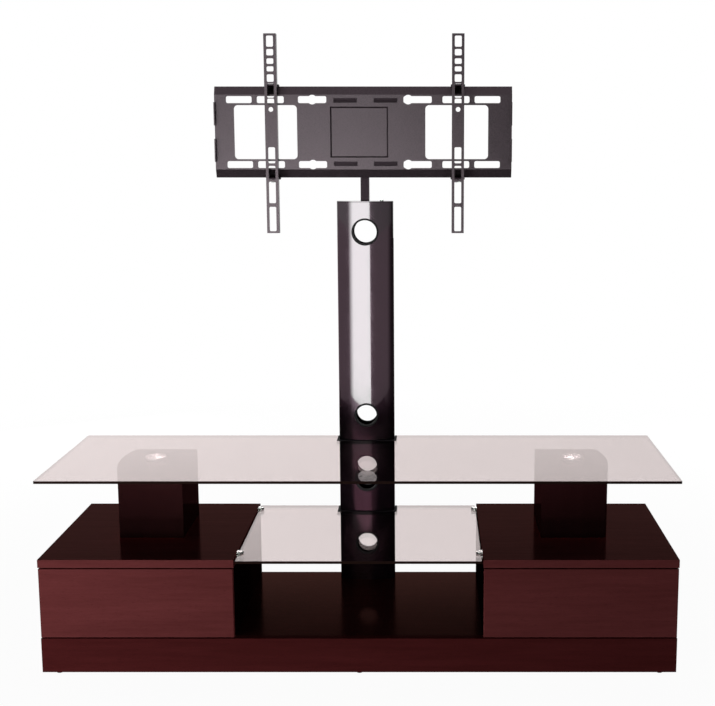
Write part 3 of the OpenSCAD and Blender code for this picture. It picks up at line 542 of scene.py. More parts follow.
def skin(bm, levels):
    """Adds faces between each level and the next. A level of one point is a pole."""
    for a, b in zip(levels, levels[1:]):
        count = max(len(a), len(b))
        for i in range(count):
            j = (i + 1) % count
            corners = tuple(dict.fromkeys((a[i % len(a)], a[j % len(a)], b[j % len(b)], b[i % len(b)])))
            if len(corners) > 2:
                bm.faces.new(corners)


def prism(bm, outline, z0, z1, frame=STRAIGHT):
    """Adds an upright solid over a plan outline."""
    levels = [level(bm, outline, z, frame) for z in (z0, z1)]
    bm.faces.new(levels[0][::-1])
    bm.faces.new(levels[1])
    skin(bm, levels)


def block(bm, low, high, frame=STRAIGHT):
    """Adds a plain box between two corners."""
    (x0, y0, z0), (x1, y1, z1) = low, high
    prism(bm, [(x0, y0), (x1, y0), (x1, y1), (x0, y1)], z0, z1, frame)


def lathe(bm, profile, steps, frame):
    """Adds a turned solid. The profile runs from axis to axis as radius and height."""
    skin(bm, [level(bm, circle(r, steps) if r else [(0, 0)], h, frame) for r, h in profile])


def facing(direction, at):
    """A frame at a point with its Z axis along a direction."""
    turn = Vector((0, 0, 1)).rotation_difference(Vector(direction)).to_matrix().to_4x4()
    return Matrix.Translation(Vector(at)) @ turn


def rounded_disc(r, h0, h1, edge):
    """Turning profile of a disc with rounded rims."""
    low = [(r - edge + edge * c, h0 + edge - edge * s) for c, s in reversed(QUARTER)]
    high = [(r - edge + edge * c, h1 - edge + edge * s) for c, s in QUARTER]
    return [(0, h0)] + low + high + [(0, h1)]


def hexagon(bm, across, h0, h1, frame):
    """Adds a hexagon head with chamfered corners, from its seat at h0 to its top at h1."""
    r = across / 2
    shoulder, top_share = h1 - 0.13 * r, 0.86
    plans = ((h0, r), (shoulder, r), (h1, top_share * r))
    levels = [level(bm, circle(radius, 6), h, frame) for h, radius in plans]
    bm.faces.new(levels[0][::-1])
    bm.faces.new(levels[-1])
    skin(bm, levels)


def eased(corners, r, steps=5):
    """An outline with its marked corners rounded."""
    points = []
    count = len(corners)
    for i, (x, y, marked) in enumerate(corners):
        if not marked:
            points.append((x, y))
            continue
        here = Vector((x, y))
        before = (Vector(corners[i - 1][:2]) - here).normalized()
        after = (Vector(corners[(i + 1) % count][:2]) - here).normalized()
        for k in range(steps + 1):
            t = k / steps
            point = (here + before * r * (1 - t)).lerp(here + after * r * t, t)
            points.append((point.x, point.y))
    return points


def cut(mesh, cutters):
    """The mesh left when the cutters' solids are taken out of it."""
    obj, tool = place_new("cut", mesh), place_new("cutter", cutters)
    take = obj.modifiers.new("cut", "BOOLEAN")
    take.operation = "DIFFERENCE"
    take.object = tool
    take.solver = "EXACT"
    depsgraph = bpy.context.evaluated_depsgraph_get()
    result = bpy.data.meshes.new_from_object(obj.evaluated_get(depsgraph))
    for o in (obj, tool):
        bpy.data.objects.remove(o)
    return result


def axis_and_radius(node, z=0.0):
    """A frame at a height on the axis of an upright round node, and the node's radius."""
    low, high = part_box(node)
    middle = Vector(((low[0] + high[0]) / 2, (low[1] + high[1]) / 2, z))
    return Matrix.Translation(middle), (high[0] - low[0]) / 2


# The column


def arc(x, y, radius, start, end, steps):
    """Points of an arc round x, y. Its angles count from the front towards the right."""
    angles = (start + (end - start) * i / steps for i in range(steps + 1))
    return [(x + radius * math.sin(a), y - radius * math.cos(a)) for a in angles]


class Outline:
    """Plan of the column: its bowed front, corners and sides, with the outward direction at each point."""

    def __init__(self):
        c = bpy.context.scene.stand_column
        low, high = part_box("column_shell")
        self.half, self.front, self.back = high[0], low[1], high[1]
        self.corner, self.back_corner, self.wall, self.steps = c.corner, c.back_corner, c.wall, c.bow_steps
        self.radius = (self.half ** 2 + c.bow ** 2) / (2 * c.bow)
        self.arc_y = self.front + self.radius
        self.corner_x = self.half - self.corner
        self.corner_y = self.arc_y - math.sqrt((self.radius - self.corner) ** 2 - self.corner_x ** 2)
        self.turn = math.atan2(self.corner_x, self.arc_y - self.corner_y)

    def surface_y(self, x):
        """Depth of the bowed front at x."""
        return self.arc_y - math.sqrt(self.radius ** 2 - x ** 2)

    def front_points(self, grow=0.0):
        """Points from the left side's start round the front to the right side's start."""
        side, corner_steps = math.pi / 2, 10
        corner, bow = self.corner + grow, self.radius + grow
        left = arc(-self.corner_x, self.corner_y, corner, -side, -self.turn, corner_steps)
        right = arc(self.corner_x, self.corner_y, corner, self.turn, side, corner_steps)
        return left[:-1] + arc(0.0, self.arc_y, bow, -self.turn, self.turn, self.steps) + right[1:]

    def closed(self, inside=()):
        """The whole plan, with round back corners. The inside's points come between these."""
        r = self.back_corner
        right = [(self.half - r + r * c, self.back - r + r * s) for c, s in QUARTER]
        return [*self.front_points(), *right, *inside, *((-x, y) for x, y in reversed(right))]

    def out(self, x, y):
        """Outward direction on the front, a corner or a side."""
        if y > self.corner_y:
            return Vector((math.copysign(1, x), 0, 0))
        if abs(x) > self.radius * math.sin(self.turn) - 1e-6:
            return Vector((x - math.copysign(self.corner_x, x), y - self.corner_y, 0)).normalized()
        return Vector((x, y - self.arc_y, 0)).normalized()


def hole_cutters(y0, y1):
    """Round bars through the column's cable holes."""
    bm = bmesh.new()
    for z, d in HOLES:
        bar = [(0, 0), (d / 2, 0), (d / 2, y1 - y0), (0, y1 - y0)]
        lathe(bm, bar, bpy.context.scene.stand_column.hole_steps, facing((0, 1, 0), (0, y0, z)))
    return plain_mesh(bm, "hole cutters")


def smooth_walls(mesh, plan):
    """Turns the normals of the walls as the plan says. A wall's zone is 1 outside and -1 inside."""
    zones = mesh.attributes["zone"].data
    normals = [Vector((0, 0, 0))] * len(mesh.loops)
    for polygon in mesh.polygons:
        sign = zones[polygon.index].value
        for i in polygon.loop_indices if sign else ():
            point = mesh.vertices[mesh.loops[i].vertex_index].co
            outward = plan.out(point.x, point.y)
            along_wall = abs(outward.dot(polygon.normal)) > 0.9
            if along_wall:
                normals[i] = sign * outward
    mesh.normals_split_custom_set(normals)


def column_front():
    """Bowed front and sides of the column, smooth, with its cable holes."""
    plan = Outline()
    low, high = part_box("column_shell")
    inner_x = plan.half - plan.wall
    inside = [(inner_x, plan.back), *reversed(plan.front_points(-plan.wall)), (-inner_x, plan.back)]
    bm = bmesh.new()
    prism(bm, plan.closed(inside), low[2], high[2])
    bmesh.ops.recalc_face_normals(bm, faces=bm.faces)
    zone = bm.faces.layers.int.new("zone")
    for face in bm.faces:
        middle = face.calc_center_median()
        upright = abs(face.normal.z) < 0.5
        if upright and middle.y < plan.back - 1.1 * plan.back_corner:
            face[zone] = 1 if face.normal.dot(plan.out(middle.x, middle.y)) > 0 else -1
    clear, short_of_back = 20 * MM, 12 * MM
    mesh = cut(plain_mesh(bm, "column front"), hole_cutters(plan.front - clear, plan.back - short_of_back))
    smooth(mesh, 30)
    smooth_walls(mesh, plan)
    piece("column_front", mesh, "stand", [finish("column")], ["column_shell"])


def column_cap():
    """Cap plate of the column, with the mast's opening and a rounded rim."""
    low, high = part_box("column_cap")
    mast_low, mast_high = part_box("mast")
    play = Vector((0.25 * MM, 0.25 * MM))
    past = 10 * MM
    cap, opening = bmesh.new(), bmesh.new()
    prism(cap, Outline().closed(), low[2], high[2])
    start, end = Vector(mast_low[:2]) - play, Vector(mast_high[:2]) + play
    block(opening, (*start, low[2] - past), (*end, high[2] + past))
    mesh = smooth(cut(plain_mesh(cap, "column cap"), plain_mesh(opening, "mast opening")), 30)
    obj = piece("column_cap_plate", mesh, "stand", [finish("column")], ["column_cap"])
    round_edges(obj, edges().cap, segments=3, angle=50)


def grommet(bm, plan, z, d, front):
    """Adds one grommet: a flange that follows the wall, with a sleeve into the hole."""
    bore, lip, sleeve = d / 2 - 2 * MM, d / 2 + 2.5 * MM, d / 2 - 0.2 * MM
    proud, soft = 1.2 * MM, 0.5 * MM
    deep = plan.wall + (5 * MM if front else 1 * MM)
    inward = 1 if front else -1
    profile = [
        (bore, deep), (bore, -proud + soft), (bore + 0.3 * soft, -proud + 0.3 * soft), (bore + soft, -proud),
        (lip - soft, -proud), (lip - 0.3 * soft, -proud + 0.3 * soft), (lip, -proud + soft), (lip, 0),
        (sleeve, 0), (sleeve, deep),
    ]
    levels = []
    for r, h in profile:
        points = [(x, plan.surface_y(x) if front else plan.back, up) for x, up in circle(r, RING)]
        levels.append([bm.verts.new((x, wall + inward * h, z + up)) for x, wall, up in points])
    skin(bm, levels + levels[:1])


def cable_grommets():
    """Black rings in the cable holes, front and back."""
    plan = Outline()
    bm = bmesh.new()
    for z, d in HOLES:
        for front in (True, False):
            grommet(bm, plan, z, d, front)
    mesh = smooth_mesh(bm, "grommets", 50)
    piece("grommet_rings", mesh, "stand", [finish("plastic")], ["cable_grommets"])


# Operators that finish or make a group of pieces


class STAND_OT_boards(bpy.types.Operator):
    """Veneers the base, the cabinets, the drawer fronts and the pedestals"""

    bl_idname = "stand.boards"
    bl_label = "Veneered boards"

    def execute(self, context):
        # The base board's veneer is darkened as painted shade of the bay.
        base = veneer("base board veneer", "board", "x", (0.0, 0.0, 0.0), (0.285, 0.117, 0.096), (0.11, 0.18))
        dress("base_board", base)
        plinth = veneer("plinth veneer across", "plinth", "x", (0.7, 2.4, 5.1))
        plinth_end = veneer("plinth veneer deep", "plinth", "y", (3.1, 0.4, 1.7))
        for node, wood in (("front", plinth), ("back", plinth), ("left", plinth_end), ("right", plinth_end)):
            dress(f"plinth_{node}", wood)
        dress("plinth_cross_rails", finish("foil y"))
        for i, side in enumerate(SIDES):
            self.cabinet(side, i)
        for node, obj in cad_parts.items():
            if node.endswith("drawer_front"):
                round_edges(obj, edges().drawer_front)
            elif any(word in node for word in ("cabinet", "pedestal", "plinth", "base_board")):
                round_edges(obj, edges().board)
        return {"FINISHED"}

    def cabinet(self, side, i):
        """One cabinet with its drawer front and pedestal. Each board has its own place in the grain."""
        boards = (
            ("cabinet_top", "cherry", "x", (7.3 + 2.9 * i, 1.3, 4.1)),
            ("drawer_front", "cherry", "x", (11.9 + 3.7 * i, 5.7, 2.2 + i), (0.04, 0.016, 0.014)),
            ("cabinet_outer_side", "cherry", "z", (1.9 + i, 8.8, 0.6)),
            # Inner sides take the near-black pedestal wood with almost no lacquer: painted shade in the bay.
            ("cabinet_inner_side", "pedestal", "z", (5.0 + i, 0.2, 0.9), (0.003, 0.0015, 0.0015)),
            ("cabinet_back", "back", "z", (2.0 + i, 6.1, 3.3), (0.05, 0.025, 0.022)),
            # The pedestals use the near-black pedestal wood as painted shade under the glass top.
            ("pedestal", "pedestal", "z", (9.0 + i, 3.2, 1.1), (0.50, 0.150, 0.160)),
        )
        for board, wood, along, *looks in boards:
            name = f"{side} {board} veneer".replace("_", " ")
            dress(f"{side}_{board}", veneer(name, wood, along, *looks))


class STAND_OT_drawer_boxes(bpy.types.Operator):
    """Finishes the drawer boxes and their runners, with rollers"""

    bl_idname = "stand.drawer_boxes"
    bl_label = "Drawer boxes and runners"

    def execute(self, context):
        parts = {
            "drawer_sides": "foil y", "drawer_back": "foil x", "drawer_bottom": "foil x",
            "runner_channels": "rolled zinc", "runner_rails": "rolled zinc",
        }
        for side in SIDES:
            for part, key in parts.items():
                dress(f"{side}_{part}", finish(key))
            for part in ("drawer_sides", "drawer_back"):
                round_edges(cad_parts[f"{side}_{part}"], 0.6 * MM)
            self.rollers(side)
        return {"FINISHED"}

    def rollers(self, side):
        """One roller at the front of each channel, and one at the back of each rail."""
        channels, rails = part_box(f"{side}_runner_channels"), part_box(f"{side}_runner_rails")
        z = (channels[0][2] + channels[1][2]) / 2
        wide, r, rim, inset = 5.5 * MM, 13.2 * MM, 0.8 * MM, 2.2 * MM
        from_front, from_back = 20 * MM, 18 * MM
        for part, body, (low, high), y in (
            ("channel", "stand", channels, channels[0][1] + from_front),
            ("rail", f"{side}_drawer", rails, rails[1][1] - from_back),
        ):
            bm = bmesh.new()
            for x in (low[0] + inset, high[0] - inset - wide):
                lathe(bm, rounded_disc(r, 0, wide, rim), KNOB, facing((1, 0, 0), (x, y, z)))
            mesh = smooth_mesh(bm, f"{body} rollers")
            piece(f"{side}_{part}_rollers", mesh, body, [finish("nylon")])


class STAND_OT_glass(bpy.types.Operator):
    """Makes the glass top and the glass shelf with ground edges, and their collars"""

    bl_idname = "stand.glass"
    bl_label = "Glass top and shelf"

    def execute(self, context):
        for node in ("glass_top", "glass_shelf"):
            self.pane(node)
            round_edges(dress(node + "_collar", finish("plastic")), 0.3 * MM)
        return {"FINISHED"}

    def pane(self, node):
        """One pane with the notch for the column and its corners just eased."""
        (x0, y0, z0), (x1, y1, z1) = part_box(node)
        column_low, column_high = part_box("column_shell")
        gap, corner = 5.5 * MM, 3 * MM
        half, notch_y = column_high[0] + gap, column_low[1] - gap
        corners = [
            (x0, y0, True), (x1, y0, True), (x1, y1, True), (half, y1, True),
            (half, notch_y, False), (-half, notch_y, False), (-half, y1, True), (x0, y1, True),
        ]
        bm = bmesh.new()
        prism(bm, eased(corners, corner), z0, z1)
        bmesh.ops.recalc_face_normals(bm, faces=bm.faces)
        for face in bm.faces:
            face.material_index = 0 if abs(face.normal.z) > 0.5 else 1
        looks = [finish("glass"), finish("glass edge")]
        obj = piece(node + "_pane", smooth_mesh(bm, node), "stand", looks, [node])
        round_edges(obj, edges().glass, angle=50, material=1)


class STAND_OT_discs(bpy.types.Operator):
    """Turns the chrome discs that hold the glass top, with their studs"""

    bl_idname = "stand.discs"
    bl_label = "Chrome discs"

    def execute(self, context):
        # Millimetres in from the rim, and up from the pedestal or down from the disc's top
        foot = ((1.2, 0.0), (0.4, 0.5), (0.0, 1.4))
        crown = ((0.0, 3.4), (0.35, 2.2), (1.1, 1.1), (2.3, 0.35), (3.6, 0.06))
        for side in SIDES:
            node = f"{side}_glass_disc"
            low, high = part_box(node)
            axis, r = axis_and_radius(node)
            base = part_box(f"{side}_pedestal")[1][2]
            bm = bmesh.new()
            lathe(bm, rounded_disc(4 * MM, low[2], base + 0.5 * MM, 0.5 * MM), STUD, axis)
            rim = [(r - a * MM, base + b * MM) for a, b in foot]
            rim += [(r - a * MM, high[2] - b * MM) for a, b in crown]
            lathe(bm, [(0, base), *rim, (0, rim[-1][1])], RING, axis)
            piece(node + "_turned", smooth_mesh(bm, node, 28), "stand", [finish("chrome")], [node])
        return {"FINISHED"}


class STAND_OT_clamps(bpy.types.Operator):
    """Finishes the shelf clamps and their screws"""

    bl_idname = "stand.clamps"
    bl_label = "Shelf clamps"

    def execute(self, context):
        round_edges(dress("shelf_clamps", finish("nickel")), 0.8 * MM, segments=3, angle=50)
        dress("clamp_screws", finish("zinc"))
        return {"FINISHED"}


class STAND_OT_column(bpy.types.Operator):
    """Makes the column's bowed front, back cover, cap and grommets"""

    bl_idname = "stand.column"
    bl_label = "Column"

    def execute(self, context):
        column_front()
        column_cap()
        cable_grommets()
        round_edges(dress("column_back_cover", finish("column")), edges().sheet, angle=50)
        dress("column_foot", finish("zinc"))
        dress("mast_socket", finish("zinc"))
        return {"FINISHED"}


class STAND_OT_mast(bpy.types.Operator):
    """Finishes the mast, its head and the mount plate"""

    bl_idname = "stand.mast"
    bl_label = "Mast and mount plate"

    def execute(self, context):
        round_edges(dress("mast", finish("mast")), 0.8 * MM, segments=3)
        round_edges(dress("mast_head", finish("mast")), 0.4 * MM)
        round_edges(dress("mount_plate", finish("plate")), edges().sheet, angle=50)
        return {"FINISHED"}


class STAND_OT_arms(bpy.types.Operator):
    """Finishes the arms and their hooks, and turns the knurled lock screws"""

    bl_idname = "stand.arms"
    bl_label = "Arms"

    def execute(self, context):
        for side in SIDES:
            round_edges(dress(f"{side}_arm", finish("plate")), edges().sheet, angle=50)
            round_edges(dress(f"{side}_arm_hooks", finish("mast")), 0.5 * MM)
            self.knob(side)
        return {"FINISHED"}

    def knob(self, side):
        """A knurled knob with a plain neck and a screw into the hook."""
        node = f"{side}_lock_screw"
        low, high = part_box(node)
        axis, r = axis_and_radius(node, low[2])
        teeth, tooth, core, neck_r, screw_r = 28, 0.5 * MM, r - 0.7 * MM, 0.6 * r, 3 * MM
        knurl_start, knurl_end, core_end, neck_start, neck_end = 0.6 * MM, 5.4 * MM, 5.9 * MM, 5 * MM, 7 * MM
        screw_start, screw_end = neck_end - 1 * MM, high[2] - low[2]
        peaks, valleys = circle(r, 2 * teeth), circle(r - tooth, 2 * teeth)
        bm = bmesh.new()
        outline = [peaks[i] if i % 2 else valleys[i] for i in range(2 * teeth)]
        prism(bm, outline, knurl_start, knurl_end, axis)
        lathe(bm, rounded_disc(core, 0, core_end, 0.5 * MM), KNOB, axis)
        lathe(bm, rounded_disc(neck_r, neck_start, neck_end, 0.3 * MM), KNOB, axis)
        lathe(bm, rounded_disc(screw_r, screw_start, screw_end, 0.4 * MM), STUD, axis)
        zinc_piece(f"{side}_knurled_screw", bm, f"{side}_arm", node)


class STAND_OT_fasteners(bpy.types.Operator):
    """Makes the column's and the mast's screws and bolts"""

    bl_idname = "stand.fasteners"
    bl_label = "Screws and bolts"

    def execute(self, context):
        self.column_screws()
        self.cap_screw()
        self.mast_bolts()
        dress("foot_bolts", finish("zinc"))
        return {"FINISHED"}

    def column_screws(self):
        """Pan head screws with a cross recess, on the back cover."""
        low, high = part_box("column_screws")
        r, tall, rim = 5 * MM, 2.4 * MM, 0.5 * MM
        face = high[1] - tall
        angles = [math.radians(a) for a in range(0, 90, 15)]
        dome = [(r * math.cos(a), rim + (tall - rim) * math.sin(a)) for a in angles]
        arm = Vector((3 * MM, 0.45 * MM))
        recess_floor, clear = 1.1 * MM, 4 * MM
        centres = [(x, face, z) for x in (low[0] + r, high[0] - r) for z in (low[2] + r, high[2] - r)]
        heads, recess = bmesh.new(), bmesh.new()
        for centre in centres:
            frame = facing((0, 1, 0), centre)
            lathe(heads, [(0, 0), (r, 0), *dome, (0, tall)], HEAD, frame)
            for turn in (0.0, math.pi / 2):
                block(recess, (*-arm, recess_floor), (*arm, clear), frame @ Matrix.Rotation(turn, 4, "Z"))
        bm = bmesh.new()
        bm.from_mesh(cut(smooth_mesh(heads, "screw heads"), plain_mesh(recess, "cross recess")))
        for centre in centres:
            shank = rounded_disc(2.5 * MM, low[1] - face, 0.4 * MM, 0.3 * MM)
            lathe(bm, shank, SHANK, facing((0, 1, 0), centre))
        zinc_piece("back_cover_screws", bm, "stand", "column_screws")

    def cap_screw(self):
        """Socket head screw on the column's cap that locks the mast."""
        low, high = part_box("mast_lock_screw")
        axis, r = axis_and_radius("mast_lock_screw")
        head, socket, deep = high[2] - 3 * MM, 4.6 * MM, 2 * MM
        solid, opening, bm = bmesh.new(), bmesh.new(), bmesh.new()
        lathe(solid, rounded_disc(r, head, high[2], 0.5 * MM), KNOB, axis)
        hexagon(opening, socket, high[2] - deep, high[2] + deep, axis)
        bm.from_mesh(cut(smooth_mesh(solid, "cap screw head"), plain_mesh(opening, "socket")))
        lathe(bm, rounded_disc(2.5 * MM, low[2], head + 0.4 * MM, 0.4 * MM), SHANK, axis)
        zinc_piece("cap_screw", bm, "stand", "mast_lock_screw")

    def mast_bolts(self):
        """Hexagon bolts through the mast, with washers and nuts."""
        low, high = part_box("mast_bolts")
        mast_low, mast_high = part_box("mast")
        y = (mast_low[1] + mast_high[1]) / 2
        shank, washer, seat, head_end, past_nut = 4 * MM, 1.2 * MM, 1 * MM, 5 * MM, 2 * MM
        across = 3.6 * shank
        reach = mast_high[0] + 4 * MM
        bm = bmesh.new()
        for z in (low[2] + across / 2, high[2] - across / 2):
            for side in (-1, 1):
                frame = facing((side, 0, 0), (side * reach, y, z))
                lathe(bm, rounded_disc(0.62 * across, 0, washer, 0.3 * MM), HEAD, frame)
                hexagon(bm, across, seat, head_end, frame)
            bolt = rounded_disc(shank, -reach - past_nut, high[0], 0.6 * MM)
            lathe(bm, bolt, STUD, facing((1, 0, 0), (0, y, z)))
        zinc_piece("mast_hex_bolts", bm, "mast", "mast_bolts")


class STAND_OT_glides(bpy.types.Operator):
    """Turns the floor glides under the plinth"""

    bl_idname = "stand.glides"
    bl_label = "Floor glides"

    def execute(self, context):
        low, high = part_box("floor_glides")
        r, top = 7.5 * MM, high[2]
        profile = [(0, 0), (r - 1.5 * MM, 0), (r - 0.6 * MM, 0.4 * MM), (r, 1.3 * MM), (r, top), (0, top)]
        bm = bmesh.new()
        for x in (low[0] + r, 0, high[0] - r):
            for y in (low[1] + r, high[1] - r):
                lathe(bm, profile, KNOB, Matrix.Translation((x, y, 0)))
        mesh = smooth_mesh(bm, "glides")
        piece("glides", mesh, "stand", [finish("plastic")], ["floor_glides"])
        return {"FINISHED"}


# The studio


def hide_from(obj, *kinds):
    """Keeps an object out of some kinds of ray."""
    for kind in kinds:
        setattr(obj, f"visible_{kind}", False)


def flat(name, corners):
    """Adds a flat sheet."""
    mesh = bpy.data.meshes.new(name)
    mesh.from_pydata(corners, [], [(0, 1, 2, 3)])
    return place_new(name, mesh)


def on_floor(x0, x1, y0, y1):
    """Corners of a rectangle on the floor."""
    return (x0, y0, 0), (x1, y0, 0), (x1, y1, 0), (x0, y1, 0)


# Depth of the column's middle, and of the light panel in front
COLUMN_Y, PANEL_Y = 0.15, -2.36


class STAND_OT_studio(bpy.types.Operator):
    """Sets the camera, the lamps, the pale floor and what the gloss mirrors"""

    bl_idname = "stand.studio"
    bl_label = "Studio"

    def execute(self, context):
        s = studio()
        camera = place_new("camera", bpy.data.cameras.new("camera"))
        camera.location = s.camera
        camera.rotation_euler = (s.tilt, 0, 0)
        camera.data.lens = s.lens
        camera.data.sensor_width = 36.0
        camera.data.shift_x = s.shift
        context.scene.camera = camera
        # Name, place, aim, width, height and watts
        for lamp in (
            ("key lamp", (-1.70, -1.80, 0.21), (-0.35, 0.0, 0.21), 1.1, 0.28, s.key),
            ("fill lamp", (1.9, -2.2, 0.45), (0.2, 0.0, 0.4), 1.2, 0.6, s.fill),
            ("top lamp", (-0.4, -0.4, 3.0), (-0.1, 0.0, 0.3), 2.0, 2.0, s.top),
            ("back left lamp", (-1.5, 2.3, 0.30), (-0.3, 0.2, 0.45), 1.2, 0.3, s.behind),
            ("back right lamp", (1.9, 2.1, 0.30), (0.3, 0.2, 0.45), 1.2, 0.3, s.behind),
            ("left lamp", (-2.7, 0.5, 0.20), (-0.7, 0.0, 0.20), 1.2, 0.3, s.behind),
            ("right lamp", (2.7, 0.2, 0.20), (0.7, 0.0, 0.20), 1.2, 0.3, s.behind),
        ):
            self.lamp(*lamp)
        self.world(context)
        self.floor()
        self.floor_strip()
        self.light_panel()
        self.overhead_panel()
        context.scene.view_settings.view_transform = "Standard"
        return {"FINISHED"}

    def lamp(self, name, place, target, wide, tall, watts):
        """A soft oval lamp that the camera and the gloss don't see."""
        light = bpy.data.lights.new(name, "AREA")
        light.shape = "ELLIPSE"
        light.size, light.size_y, light.energy = wide, tall, watts
        obj = place_new(name, light)
        obj.location = place
        obj.rotation_euler = (Vector(target) - Vector(place)).to_track_quat("-Z", "Y").to_euler()
        hide_from(obj, "glossy", "camera")

    def world(self, context):
        """White to the camera and through the glass, and dim to the rest. Gloss has a studio of its own."""
        world = bpy.data.worlds.new("studio")
        context.scene.world = world
        f = Finish("studio", world)
        seen, mirrored = f.rays()
        plain = f.times(f.spread(seen, 0.0, 1.0, studio().surround, 1.0), f.math("SUBTRACT", 1.0, mirrored))
        strength = f.math("MULTIPLY_ADD", f.times(self.gloss_round(f), f.once(0.03)), mirrored, plain)
        f.surface(f.add("Background", {"Color": WHITE, "Strength": strength}), "OutputWorld")

    def gloss_round(self, f):
        """What gloss sees round it: a dark flag at the right front, a dark band behind, a glow above."""
        x, y, z = f.along("XYZ", "Generated")
        azimuth = f.math("ARCTAN2", x, f.math("MULTIPLY", y, -1.0))
        flag_start, flag_end, flag_top, flag_dark = (0.55, 0.72), (2.0, 2.3), (0.35, 0.6), 0.92
        flag = f.times(f.rise(azimuth, *flag_start), f.fall(azimuth, *flag_end), f.fall(z, *flag_top))
        level_ahead, less_at_right = 0.94, 0.40
        sides = f.math("MULTIPLY_ADD", x, -less_at_right, level_ahead)
        band_start, band_dark, band_end, to_behind = (0.325, 0.355), 0.03, (0.58, 0.72), (0.0, 0.2)
        band = f.math("MAXIMUM", f.spread(z, *band_start, 1.0, band_dark), f.rise(z, *band_end))
        band = f.math("MAXIMUM", band, f.fall(y, *to_behind))
        above_start, above_glow, above_end = (0.4, 0.65), 1.6, (-0.1, 0.05)
        above = f.times(f.spread(z, *above_start, 0.0, above_glow), f.fall(y, *above_end))
        return f.math("ADD", f.times(f.math("MULTIPLY_ADD", flag, -flag_dark, 1.0), sides, band), above)

    def floor(self):
        """Pale floor that keeps a light shadow and fades into the white round it."""
        half, below = 14.0, 0.2 * MM
        floor = flat("floor", on_floor(-half, half, -half, half))
        floor.location.z = -below
        f = Finish("pale floor")
        seen, mirrored = f.rays()
        from_middle = f.add("VectorMath", {0: f.place()}, operation="LENGTH").outputs["Value"]
        lift = f.times(seen, f.spread(from_middle, 1.0, 3.0, 0.96, 1.0))
        pale = f.mix(f.noise(scale=3.0, detail=2.0), (0.90, 0.90, 0.90), (0.93, 0.93, 0.93))
        pale = f.mix(f.ray("Is Diffuse Ray"), pale, (0.25, 0.24, 0.24))
        white = f.add("Emission", {"Color": WHITE, "Strength": 1.0})
        shown = f.over(lift, f.add("BsdfDiffuse", {"Color": pale}), white)
        glow = f.add("Emission", {"Color": (1.0, 0.80, 0.88), "Strength": self.gloss_floor(f)})
        floor.data.materials.append(f.surface(f.over(mirrored, shown, glow)))

    def gloss_floor(self, f):
        """How bright gloss sees the floor: near the stand, far out at its sides, past the panel, behind."""
        x, y = f.along("XY")
        ahead, turn = self.from_column(f, x, y)
        near_start, near_fade = (-1.92, -1.86, 0.02, 1.0), (-1.86, -0.9, 0.9, 0.03)
        near = f.times(f.spread(y, *near_start), f.spread(y, *near_fade))
        side_start, far_start, dimmer_right = (1.12, 1.20), (2.55, 2.75, 0.02, 0.95), (0.28, 0.60, 1.0, 0.1)
        aside = f.rise(f.math("ABSOLUTE", x), *side_start)
        reach = f.math("SQRT", f.math("MULTIPLY_ADD", x, x, f.times(ahead, ahead)))
        wide = f.times(aside, f.spread(reach, *far_start))
        pool = f.math("MULTIPLY_ADD", near, f.math("SUBTRACT", 1.0, aside), wide)
        pool = f.times(pool, f.spread(turn, *dimmer_right))
        panel_front, right_end, behind_glow = PANEL_Y + 0.02, (0.52, 0.62), (0.35, 0.9, 0.0, 0.03)
        beyond = f.times(f.fall(y, PANEL_Y, panel_front), f.fall(turn, *right_end))
        return f.math("MAXIMUM", f.math("MAXIMUM", beyond, pool), f.spread(y, *behind_glow))

    def from_column(self, f, x, y):
        """How far ahead of the column a place on the floor is, and its angle towards the right."""
        ahead = f.math("SUBTRACT", COLUMN_Y, y)
        return ahead, f.math("ARCTAN2", x, ahead)

    def reflected(self, name, corners, tint, glow, names, state):
        """A sheet that glows in gloss alone, and only in the named pieces, or in all but them."""
        sheet = flat(name, corners)
        f = Finish(name)
        light = f.add("Emission", {"Color": tint, "Strength": f.times(f.once(0.04), glow(f))})
        both = f.add("AddShader", {0: f.add("BsdfTransparent").outputs[0], 1: light.outputs[0]})
        sheet.data.materials.append(f.surface(both))
        hide_from(sheet, "camera", "diffuse", "transmission", "shadow")
        receivers = bpy.data.collections.new(name + " receivers")
        for receiver in names:
            receivers.objects.link(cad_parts.get(receiver) or bpy.data.objects[receiver])
        for entry in receivers.collection_objects:
            entry.light_linking.link_state = state
        sheet.light_linking.receiver_collection = receivers

    def floor_strip(self):
        """Lit strip of floor that the foot of the column mirrors, pointed towards the column."""

        def glow(f):
            x, y = f.along("XY")
            turn = self.from_column(f, x, y)[1]
            bright = f.spread(turn, *dimmer_right)
            across = f.times(f.rise(turn, *left_end), f.fall(turn, *right_end))
            aside = f.math("SUBTRACT", turn, tip_turn)
            pointed = f.math("MULTIPLY_ADD", f.times(aside, aside), slant, y)
            return f.times(across, bright, f.rise(y, *far_end), f.fall(pointed, *near_end), strength)

        dimmer_right, left_end, right_end = (0.070, 0.080, 1.0, 0.28), (-0.49, -0.376), (0.14, 0.27)
        far_end, near_end, tip_turn, slant, strength = (-1.82, -1.72), (-0.56, -0.44), -0.1, 1.75, 4.3
        corners = on_floor(-1.1, 0.65, -1.84, -0.40)
        self.reflected("floor_strip", corners, (1.0, 0.52, 0.70), glow, ["column_front"], "INCLUDE")

    def light_panel(self):
        """Upright light panel in front, at the left, that all but the glass mirrors."""
        x0, x1, y, top = -1.34, 0.19, PANEL_Y, 2.3
        soft_edge, lower_fade, lower_share = 0.35, (0.95, 1.25), 0.34

        def glow(f):
            across, up = f.along("XZ")
            soft = f.rise(across, x0, x0 + soft_edge)
            return f.times(soft, f.spread(up, *lower_fade, 1.0, lower_share), studio().panel)

        corners = ((x0, y, 0), (x1, y, 0), (x1, y, top), (x0, y, top))
        panes = ["glass_top_pane", "glass_shelf_pane"]
        self.reflected("light_panel", corners, (0.87, 1.0, 0.92), glow, panes, "EXCLUDE")

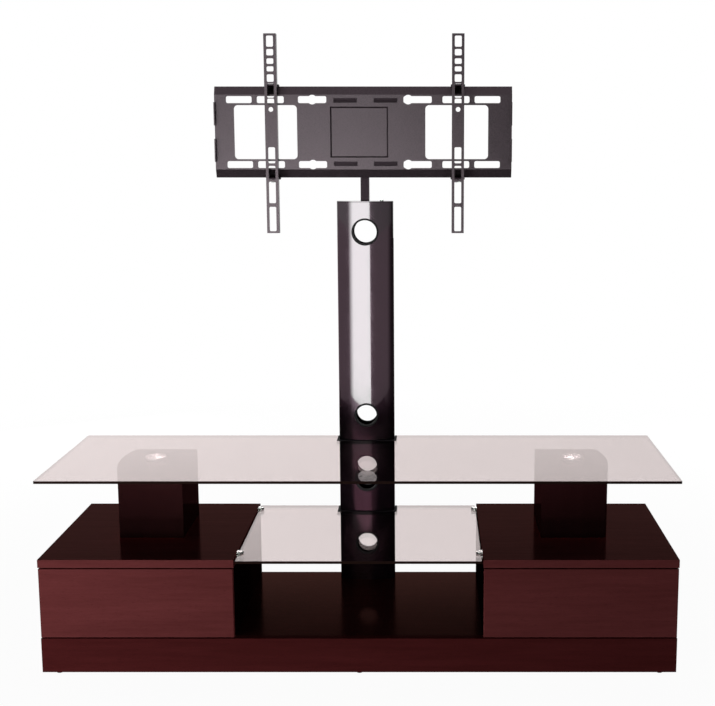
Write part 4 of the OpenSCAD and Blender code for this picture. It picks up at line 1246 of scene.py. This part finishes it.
    def overhead_panel(self):
        """Light panel above and behind that the bright metal mirrors."""
        middle, wide, tall = Vector((-0.2, 2.72, 3.35)), Vector((1.5, 0, 0)), Vector((0, -0.365, 0.34))
        corners = [middle + i * wide + j * tall for i, j in ((-1, -1), (1, -1), (1, 1), (-1, 1))]
        strength = 44.0
        sides = [f"{side}_{metal}" for side in SIDES for metal in ("glass_disc_turned", "knurled_screw")]
        metals = [*sides, "shelf_clamps", "cap_screw", "mast_hex_bolts"]
        self.reflected("overhead_panel", corners, (1.0, 0.97, 0.96), lambda f: strength, metals, "INCLUDE")


# The sidebar, and the run


class STAND_PT_panel(bpy.types.Panel):
    """Lists the stand's pieces and its sizes and colours"""

    bl_idname = "STAND_PT_panel"
    bl_label = "Television stand"
    bl_space_type = "VIEW_3D"
    bl_region_type = "UI"
    bl_category = "Stand"

    def draw(self, context):
        column = self.layout.column()
        for operator in OPERATORS:
            column.operator(operator.bl_idname)
        for group in GROUPS:
            box = column.box()
            box.label(text=group.__doc__)
            values = getattr(context.scene, GROUPS[group])
            for name in group.__annotations__:
                box.prop(values, name)


GROUPS = {
    StandEdges: "stand_edges",
    StandColours: "stand_colours",
    StandColumn: "stand_column",
    StandStudio: "stand_studio",
}
OPERATORS = (
    STAND_OT_boards, STAND_OT_drawer_boxes, STAND_OT_glass, STAND_OT_discs, STAND_OT_clamps, STAND_OT_column,
    STAND_OT_mast, STAND_OT_arms, STAND_OT_fasteners, STAND_OT_glides, STAND_OT_studio,
)


def register():
    for cls in (*GROUPS, *OPERATORS, STAND_PT_panel):
        bpy.utils.register_class(cls)
    for group, name in GROUPS.items():
        setattr(bpy.types.Scene, name, PointerProperty(type=group))


def unregister():
    for name in GROUPS.values():
        delattr(bpy.types.Scene, name)
    for cls in reversed((*GROUPS, *OPERATORS, STAND_PT_panel)):
        bpy.utils.unregister_class(cls)


def main():
    """Makes every piece in order."""
    register()
    for operator in OPERATORS:
        group, name = operator.bl_idname.split(".")
        getattr(getattr(bpy.ops, group), name)()


if __name__ == "__main__":
    main()
